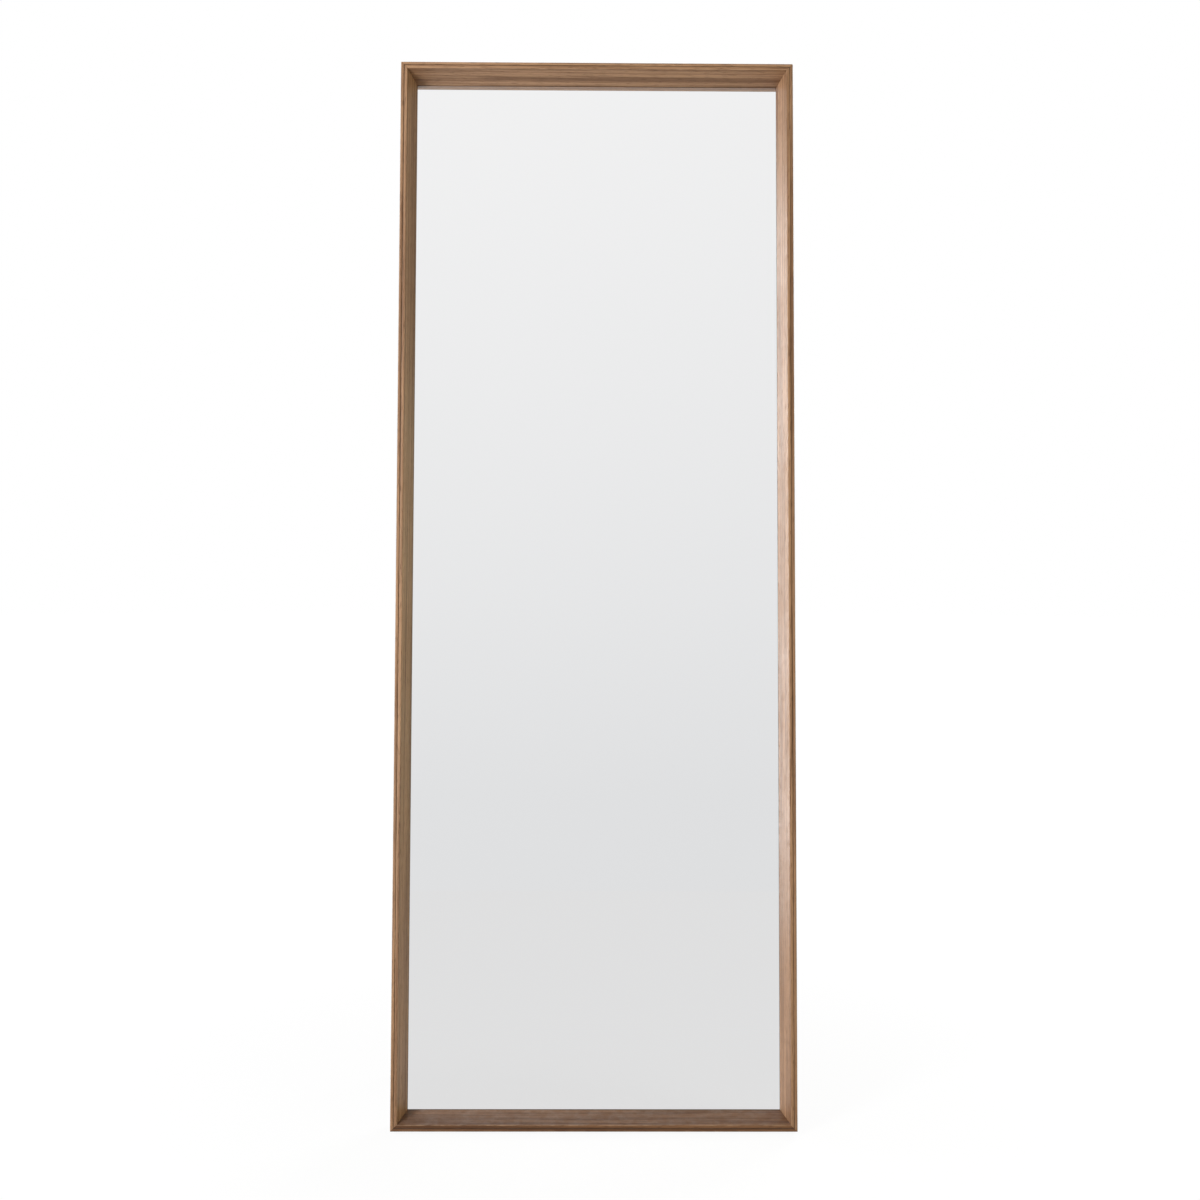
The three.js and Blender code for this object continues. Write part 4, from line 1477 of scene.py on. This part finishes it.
@dataclass
class Hangers:
    """Two curled straps with D-rings, so that the mirror can also hang on a wall."""

    place: Placement
    finishes: Finishes
    wire_radius: float = 1.1 * MM
    ring_inner_width: float = 12.0 * MM
    ring_corner: float = 2.0 * MM
    ring_leg: float = 6.5 * MM
    wire_butt: float = 0.4 * MM
    curl_inner: float = 1.4 * MM
    strap_thickness: float = 1.0 * MM
    strap_width: float = 8.0 * MM
    curl_end: float = -110.0
    strap_ease: float = 0.14 * MM

    def build(self) -> None:
        """Builds and dresses both hangers and their screws."""
        tree = Trees.bent_tube()
        for hand in Hand:
            strap, ring = f"hanger_strap_{hand.word}", f"hanger_ring_{hand.word}"
            low, high = self.place.local_box(self.place.panel, strap)
            axis_depth = low.y + self.strap_thickness + self.curl_inner
            axis_height = high.z - self.strap_thickness - self.curl_inner
            axis = Matrix.Translation(((low.x + high.x) / 2.0, axis_depth, axis_height))
            spot = self.place.panel @ axis
            made = Bench.piece(f"{strap}_plate", self._strap(axis_height - low.z), spot, sharp=40.0)
            made.data.materials.append(self.finishes.zinc)
            Bench.finish(made, "panel", "zinc_steel", strap)
            wire = self._wire(tree)
            plumb = spot @ Matrix.Rotation(self.place.lean, 4, "X")
            made = Bench.piece(f"{ring}_wire", wire, plumb, sharp=50.0)
            Bench.finish(made, f"ring_{hand.word}", "zinc_steel", ring)
        names = [f"hanger_screw_{hand.word}_{n}" for hand in Hand for n in (1, 2)]
        PAN_SCREWS.build("hanger_screws", names, self.place, self.finishes.zinc, "zinc_steel", seed=8)

    def _strap(self, length: float) -> bpy.types.Mesh:
        """The bent strap, with its curl round the origin and its tail down -Z.

        Args:
            length: From the ring's axis to the end of the tail.

        Returns:
            The strap's mesh.
        """
        outer = self.curl_inner + self.strap_thickness
        outline = [(-outer, -length), *arc((0.0, 0.0), outer, 180.0, self.curl_end, 26)]
        outline += arc((0.0, 0.0), self.curl_inner, self.curl_end, 180.0, 26)
        outline.append((-self.curl_inner, -length))
        half = self.strap_width / 2.0
        basis = Matrix(((0, 0, 1, -half), (1, 0, 0, 0), (0, 1, 0, 0), (0, 0, 0, 1)))
        return Bench.slab(outline, self.strap_width, basis, self.strap_ease)

    def _wire(self, tree: bpy.types.NodeTree) -> bpy.types.Mesh:
        """The D-ring's wire, its bar on the X axis.

        Args:
            tree: The bent tube tree.

        Returns:
            The ring's mesh.
        """
        leg = self.ring_inner_width / 2.0 + self.wire_radius
        corner, bar = self.ring_corner, self.ring_inner_width / 2.0 + self.wire_radius - self.ring_corner
        run = [(self.wire_butt / 2.0, 0.0), *arc((bar, -corner), corner, 90.0, 0.0, 8)]
        run += arc((0.0, -self.ring_leg), leg, 0.0, -180.0, 36)
        run += [*arc((-bar, -corner), corner, 180.0, 90.0, 8), (-self.wire_butt / 2.0, 0.0)]
        points = [(x, 0.0, z) for x, z in run]
        links = [(i, i + 1) for i in range(len(points) - 1)]
        feeds = {"Radius": self.wire_radius, "Bend Radius": 0.0, "Bend Steps": 1, "Sides": 20,
                 "Material": self.finishes.zinc}
        return Bench.grow(Bench.raw("ring path", points, links, []), tree, feeds)


@dataclass
class StandBrackets:
    """The two channel brackets that hold the stand, with their pins and screws."""

    place: Placement
    finishes: Finishes
    thickness: float = 1.5 * MM
    corner: float = 3.0 * MM
    ear_inner: float = 5.9 * MM
    ear_top: float = 7.5 * MM
    ear_length: float = 22.0 * MM
    pin_radius: float = 2.5 * MM
    pin_head_radius: float = 4.0 * MM
    pin_head: float = 1.5 * MM
    fit: float = 0.3 * MM
    plate_ease: float = 0.2 * MM

    def build(self) -> None:
        """Builds and dresses both brackets, pins and their screws."""
        for hand in Hand:
            node, pin = f"stand_bracket_{hand.word}", f"pivot_pin_{hand.word}"
            low, high = self.place.local_box(self.place.panel, node)
            pin_low, pin_high = self.place.local_box(self.place.panel, pin)
            pivot = (pin_low + pin_high) / 2.0
            spot = self.place.panel @ Matrix.Translation(pivot)
            rise = pivot.y - low.y - self.thickness
            mesh = self._bracket(rise, high.z - low.z, high.x - low.x)
            mesh.materials.append(self.finishes.powder)
            Bench.finish(Bench.piece(f"{node}_channel", mesh, spot), "panel", "black_steel", node)
            mesh = self._pin()
            mesh.materials.append(self.finishes.zinc)
            Bench.finish(Bench.piece(f"{pin}_rivet", mesh, spot), "panel", "zinc_steel", pin)
        names = [f"bracket_screw_{hand.word}_{n}" for hand in Hand for n in (1, 2)]
        PAN_SCREWS.build("bracket_screws", names, self.place, self.finishes.zinc, "zinc_steel", seed=21)

    def _bracket(self, rise: float, length: float, width: float) -> bpy.types.Mesh:
        """The bracket's plate and ears, round the pivot.

        Args:
            rise: From the plate's face to the pivot.
            length: Of the plate.
            width: Over the ears.

        Returns:
            The bracket's mesh.
        """
        x, z, corner = width / 2.0 - self.corner, length / 2.0 - self.corner, self.corner
        outline = [*arc((x, z), corner, 0.0, 90.0, 6), *arc((-x, z), corner, 90.0, 180.0, 6),
                   *arc((-x, -z), corner, 180.0, 270.0, 6), *arc((x, -z), corner, 270.0, 360.0, 6)]
        base = -rise - self.thickness
        flat = Matrix(((1, 0, 0, 0), (0, 0, 1, base), (0, 1, 0, 0), (0, 0, 0, 1)))
        parts = [Bench.slab(outline, self.thickness, flat, self.plate_ease)]
        foot = -rise - self.thickness / 2.0
        ear = [(-self.ear_length / 2.0, foot), (self.ear_length / 2.0, foot)]
        ear += arc((0.0, 0.0), self.ear_top, 0.0, 180.0, 18)
        for start in (self.ear_inner, -self.ear_inner - self.thickness):
            stand = Matrix(((0, 0, 1, start), (0, 1, 0, 0), (1, 0, 0, 0), (0, 0, 0, 1)))
            parts.append(Bench.slab(ear, self.thickness, stand, self.plate_ease))
        return Bench.joined(parts, [Matrix.Identity(4)] * len(parts))

    def _pin(self) -> bpy.types.Mesh:
        """The pin with its two domed heads, along X.

        Returns:
            The pin's mesh.
        """
        inner = self.ear_inner + self.thickness + self.fit
        head = [(self.pin_radius, inner), (self.pin_head_radius, inner)]
        head += dome(self.pin_head_radius, inner, self.pin_head, 0.35, (20.0, 40.0, 58.0, 74.0))
        other = [(radius, -along) for radius, along in reversed(head)]
        return Bench.turned(other + head, 32, "X")


@dataclass
class FoldingStand:
    """The bent tube stand with its end plugs and ribbed floor sleeves."""

    place: Placement
    finishes: Finishes
    tube_radius: float = 5.5 * MM
    bend: float = 35.0 * MM
    plug_head: float = 2.0 * MM
    plug_depth: float = 8.0 * MM
    plug_bore: float = 4.0 * MM
    fit: float = 0.3 * MM
    sleeve_radius: float = 8.3 * MM
    rib_pitch: float = 2.5 * MM
    rib_depth: float = 0.45 * MM
    sleeve_lip: float = 3.0 * MM
    sleeve_round: float = 0.8 * MM
    sleeve_ease: float = 0.25 * MM

    def build(self) -> None:
        """Builds and dresses the tube, the plugs and the sleeves."""
        stand = self.place.stand
        low, high = self.place.local_box(stand, "stand_tube")
        leg = high.x - self.tube_radius
        foot, top = low.z + self.tube_radius, high.z
        corners = [(-leg, 0.0, top), (-leg, 0.0, foot), (leg, 0.0, foot), (leg, 0.0, top)]
        base = Bench.raw("stand path", corners, [(0, 1), (1, 2), (2, 3)], [])
        feeds = {"Radius": self.tube_radius, "Bend Radius": self.bend, "Bend Steps": 24, "Sides": 36,
                 "Material": self.finishes.powder}
        mesh = Bench.grow(base, Trees.bent_tube(), feeds)
        made = Bench.piece("stand_tube_bent", mesh, stand, sharp=50.0)
        Bench.finish(made, "stand", "black_steel", "stand_tube")
        for hand in Hand:
            self._plug(hand, leg, stand)
            self._sleeve(hand, stand)

    def _plug(self, hand: Hand, leg: float, stand: Matrix) -> None:
        """Builds one domed end plug.

        Args:
            hand: The side that it is on.
            leg: Distance of the legs from the middle.
            stand: From stand coordinates to the row frame.
        """
        node = f"tube_plug_{hand.word}"
        _, high = self.place.local_box(stand, node)
        under = high.z - self.plug_head
        profile = [(0.0, under - self.plug_depth), (self.plug_bore, under - self.plug_depth),
                   (self.plug_bore, under), (self.tube_radius, under)]
        profile += dome(self.tube_radius, under, self.plug_head, 0.45, (18.0, 36.0, 54.0, 70.0))
        mesh = Bench.turned(profile, 32, "Z")
        mesh.materials.append(self.finishes.plastic)
        spot = stand @ Matrix.Translation((hand.value * leg, 0.0, 0.0))
        Bench.finish(Bench.piece(f"{node}_cap", mesh, spot), "stand", "plug_plastic", node)

    def _sleeve(self, hand: Hand, stand: Matrix) -> None:
        """Builds one ribbed rubber sleeve.

        Args:
            hand: The side that it is on.
            stand: From stand coordinates to the row frame.
        """
        node = f"foot_sleeve_{hand.word}"
        low, high = self.place.local_box(stand, node)
        half, bore, radius = (high.x - low.x) / 2.0, self.tube_radius + self.fit, self.sleeve_radius
        lip, turn, ease = self.sleeve_lip, self.sleeve_round, self.sleeve_ease
        ribbed, low_radius = 2.0 * half - 2.0 * lip, radius - self.rib_depth
        profile = [(bore, -half), (radius - turn, -half), (radius - ease, -half + ease),
                   (radius, -half + turn), (radius, -half + lip)]
        count = round(ribbed / self.rib_pitch)
        pitch = ribbed / count
        for i in range(count):
            start = -half + lip + i * pitch
            profile += [(low_radius, start + 0.25 * pitch), (low_radius, start + 0.5 * pitch),
                        (radius, start + 0.75 * pitch), (radius, start + pitch)]
        profile += [(radius, half - turn), (radius - ease, half - ease), (radius - turn, half),
                    (bore, half), (bore, -half)]
        mesh = Bench.turned(profile, 40, "X")
        mesh.materials.append(self.finishes.rubber)
        spot = stand @ Matrix.Translation(((low.x + high.x) / 2.0, 0.0, (low.z + high.z) / 2.0))
        Bench.finish(Bench.piece(f"{node}_ribbed", mesh, spot, 28.0), "stand", "sleeve_rubber", node)


@dataclass
class FloorPads:
    """The wedge-shaped rubber feet, with grooves across their undersides."""

    place: Placement
    finishes: Finishes
    groove_pitch: float = 4.0 * MM
    groove_width: float = 1.2 * MM
    groove_depth: float = 0.5 * MM

    def build(self) -> None:
        """Builds and dresses both feet."""
        for hand in Hand:
            node = f"floor_pad_{hand.word}"
            low, high = self.place.local_box(self.place.panel, node)
            mesh = self._wedge(low, high)
            mesh.materials.append(self.finishes.rubber)
            made = Bench.piece(f"{node}_wedge", mesh, self.place.panel)
            Bench.finish(made, "panel", "pad_rubber", node)

    def _wedge(self, low: Vector, high: Vector) -> bpy.types.Mesh:
        """One wedge whose underside lies flat on the floor.

        Args:
            low: Lowest corner of the foot's box, in panel coordinates.
            high: Highest corner of it.

        Returns:
            The wedge's mesh.
        """
        fall = math.tan(self.place.lean)
        rear_bottom = low.z + (high.y - low.y) * fall
        outline = [(low.y, high.z), (low.y, low.z)]
        y = low.y + self.groove_pitch
        while y < high.y - self.groove_pitch:
            ground = low.z + (y - low.y) * fall
            step = self.groove_width
            outline += [(y, ground), (y + 0.2 * step, ground + self.groove_depth),
                        (y + 0.8 * step, ground + self.groove_depth), (y + step, ground + step * fall)]
            y += self.groove_pitch
        outline += [(high.y, rear_bottom), (high.y, high.z)]
        basis = Matrix(((0, 0, 1, low.x), (1, 0, 0, 0), (0, 1, 0, 0), (0, 0, 0, 1)))
        return Bench.slab(outline, high.x - low.x, basis, 0.0)


# ------------------------------------------------------------------------------ studio


@dataclass(frozen=True)
class Softbox:
    """A soft rectangular light that faces a target."""

    name: str
    at: tuple[float, float, float]
    target: tuple[float, float, float]
    size: tuple[float, float]
    power: float
    colour: Colour = (1.0, 1.0, 1.0)

    def build(self) -> None:
        """Places the light."""
        data = bpy.data.lights.new(self.name, "AREA")
        data.shape = "RECTANGLE"
        data.size, data.size_y = self.size
        data.energy = self.power
        data.color = self.colour
        light = bpy.data.objects.new(self.name, data)
        light.location = self.at
        aim = Vector(self.target) - Vector(self.at)
        light.rotation_euler = aim.to_track_quat("-Z", "Y").to_euler()
        bpy.context.scene.collection.objects.link(light)


SOFTBOXES = (
    Softbox("key softbox", (-1.88, -2.32, 1.38), (0.0, 0.0, 0.95), (0.8, 2.5), 98.0),
    Softbox("right fill", (2.3, -1.9, 1.1), (0.0, 0.0, 0.8), (1.6, 1.8), 27.0, (1.0, 0.95, 0.62)),
    Softbox("rear fill", (1.6, 2.4, 2.1), (0.0, 0.0, 0.8), (1.6, 1.6), 68.0),
)


@dataclass
class Studio:
    """Floor, sky, lights and camera.

    room_glow holds pairs of height and brightness: 0 is straight down and 1 is straight up.
    """

    place: Placement
    floor_radius: float = 14.0
    floor_pale: Colour = (0.86, 0.86, 0.86)
    floor_dull: Colour = (0.84, 0.84, 0.845)
    lens: float = 46.05
    sensor: float = 36.0
    farthest: float = 60.0
    camera_at: tuple[float, float, float] = (-0.013, -2.288, 0.648)
    camera_turn: tuple[float, float, float] = (3.3, 0.16, -0.49)
    side_glow: float = 0.22
    floor_glow: float = 0.797
    floor_dimming: float = 0.7
    floor_ahead: float = 1.2
    sky_ahead: float = 0.05
    ambient: Colour = (0.09, 0.0905, 0.091)
    behind: Colour = (0.75, 0.75, 0.755)
    cooling: float = 0.09
    brightest: float = 0.95
    room_glow: tuple[tuple[float, float], ...] = (
        (0.0, 0.70), (0.45, 0.785), (0.5174, 0.80), (0.5825, 0.853), (0.6453, 0.895), (0.7332, 0.945),
    )

    def build(self) -> None:
        """Sets up the whole studio."""
        bpy.context.scene.view_settings.view_transform = "Standard"
        self._camera()
        self._floor()
        self._sky()
        for softbox in SOFTBOXES:
            softbox.build()

    def _camera(self) -> None:
        """Places the camera in front of the glass, in panel coordinates."""
        data = bpy.data.cameras.new("studio camera")
        data.lens = self.lens
        data.sensor_width = self.sensor
        data.clip_end = self.farthest
        camera = bpy.data.objects.new("studio camera", data)
        pitch, roll, yaw = (math.radians(a) for a in self.camera_turn)
        turn = (
            Matrix.Rotation(yaw, 4, "Z")
            @ Matrix.Rotation(math.pi / 2.0 + pitch, 4, "X")
            @ Matrix.Rotation(roll, 4, "Z")
        )
        camera.matrix_world = self.place.panel @ Matrix.Translation(self.camera_at) @ turn
        bpy.context.scene.collection.objects.link(camera)
        bpy.context.scene.camera = camera

    def _floor(self) -> None:
        """A round pale floor that fades to white away from the mirror."""
        mesh = bpy.data.meshes.new("studio floor")
        work = bmesh.new()
        bmesh.ops.create_circle(work, cap_ends=True, segments=96, radius=self.floor_radius)
        work.to_mesh(mesh)
        work.free()
        floor = bpy.data.objects.new("studio_floor", mesh)
        bpy.context.scene.collection.objects.link(floor)
        surface = Surface("pale studio floor", {"Roughness": 0.75, "Specular IOR Level": 0.2})
        graph = surface.graph
        specks = surface.effect(Effects.mottle(), {"Coordinates": surface.place, "Speck Scale": 60.0})
        surface.feed("Base Color", graph.mix(specks["Patches"], self.floor_pale, self.floor_dull))
        reach = graph.add("ShaderNodeVectorMath", {0: surface.place}, operation="LENGTH").outputs["Value"]
        path = graph.add("ShaderNodeLightPath").outputs
        bearing = self._bearing(graph, surface.place, self.floor_ahead)
        level = graph.ramp(bearing, 0.4, 0.9, self.floor_glow, self.side_glow)
        dimming = graph.math("MULTIPLY", path["Is Diffuse Ray"], self.floor_dimming)
        level = graph.math("SUBTRACT", level, dimming, clamp=True)
        level = graph.math("MAXIMUM", level, graph.math("MULTIPLY", path["Is Camera Ray"], 1.02))
        glow = graph.add("ShaderNodeEmission", {"Strength": level})
        far = graph.ramp(reach, 0.2, 1.4, 0.92, 1.0)
        feeds = {0: far, 1: surface.shader.outputs[0], 2: glow.outputs[0]}
        mixed = graph.add("ShaderNodeMixShader", feeds)
        output = graph.tree.nodes["Material Output"]
        graph.tree.links.new(mixed.outputs[0], output.inputs["Surface"])
        mesh.materials.append(surface.material)

    @staticmethod
    def _bearing(graph: NodeGraph, vector: Feed, least: float) -> bpy.types.NodeSocket:
        """How far a place or a direction lies to either side of straight ahead of the glass.

        Args:
            graph: The material's or the sky's graph.
            vector: The place or the direction.
            least: The least distance ahead that it is divided by.

        Returns:
            The distance aside over the distance ahead.
        """
        parts = graph.add("ShaderNodeSeparateXYZ", {0: vector}).outputs
        ahead = graph.math("MAXIMUM", graph.math("MULTIPLY", parts[1], -1.0), least)
        return graph.math("DIVIDE", graph.math("ABSOLUTE", parts[0]), ahead)

    def _sky(self) -> None:
        """White behind the mirror, and the soft gradient of a studio in front of it."""
        world = bpy.data.worlds.new("studio")
        world.use_nodes = True
        bpy.context.scene.world = world
        graph = NodeGraph(world.node_tree)
        direction = graph.add("ShaderNodeTexCoord").outputs["Generated"]
        parts = graph.add("ShaderNodeSeparateXYZ", {0: direction}).outputs
        rise = graph.add("ShaderNodeValToRGB", {0: graph.line(parts[2], 0.5, 0.5)})
        ramp = rise.color_ramp
        while len(ramp.elements) < len(self.room_glow):
            ramp.elements.new(0.5)
        for element, (position, level) in zip(ramp.elements, self.room_glow):
            cool = 1.0 + self.cooling * (self.brightest - level)
            element.position = position
            element.color = (level, level * (0.5 + 0.5 * cool), level * cool, 1.0)
        bearing = self._bearing(graph, direction, self.sky_ahead)
        front = graph.ramp(bearing, 0.22, 0.55, 1.0, self.side_glow)
        aside = graph.math("MULTIPLY", front, graph.ramp(parts[0], -0.16, 0.16, 1.006, 0.99))
        room = graph.mix(1.0, rise.outputs[0], aside, "MULTIPLY")
        room = graph.mix(graph.ramp(parts[1], 0.0, 0.3), room, self.behind)
        path = graph.add("ShaderNodeLightPath").outputs
        soft = graph.mix(path["Is Diffuse Ray"], room, self.ambient)
        shown = graph.mix(path["Is Camera Ray"], soft, (1.0, 1.0, 1.0))
        background = world.node_tree.nodes["Background"]
        graph.tree.links.new(shown, background.inputs["Color"])


def main(frame: dict) -> None:
    """Builds the mirror's sub-assemblies in order, then the studio.
    """
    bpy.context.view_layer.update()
    place = Placement(frame["nodes"])
    finishes = Finishes()
    TimberFrame(place, finishes).build()
    GlassPack(place, finishes).build()
    Hangers(place, finishes).build()
    StandBrackets(place, finishes).build()
    FoldingStand(place, finishes).build()
    FloorPads(place, finishes).build()
    Studio(place).build()


if __name__ == "__main__":
    logging.basicConfig(level=logging.INFO, format="%(name)s: %(message)s")
    main(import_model())
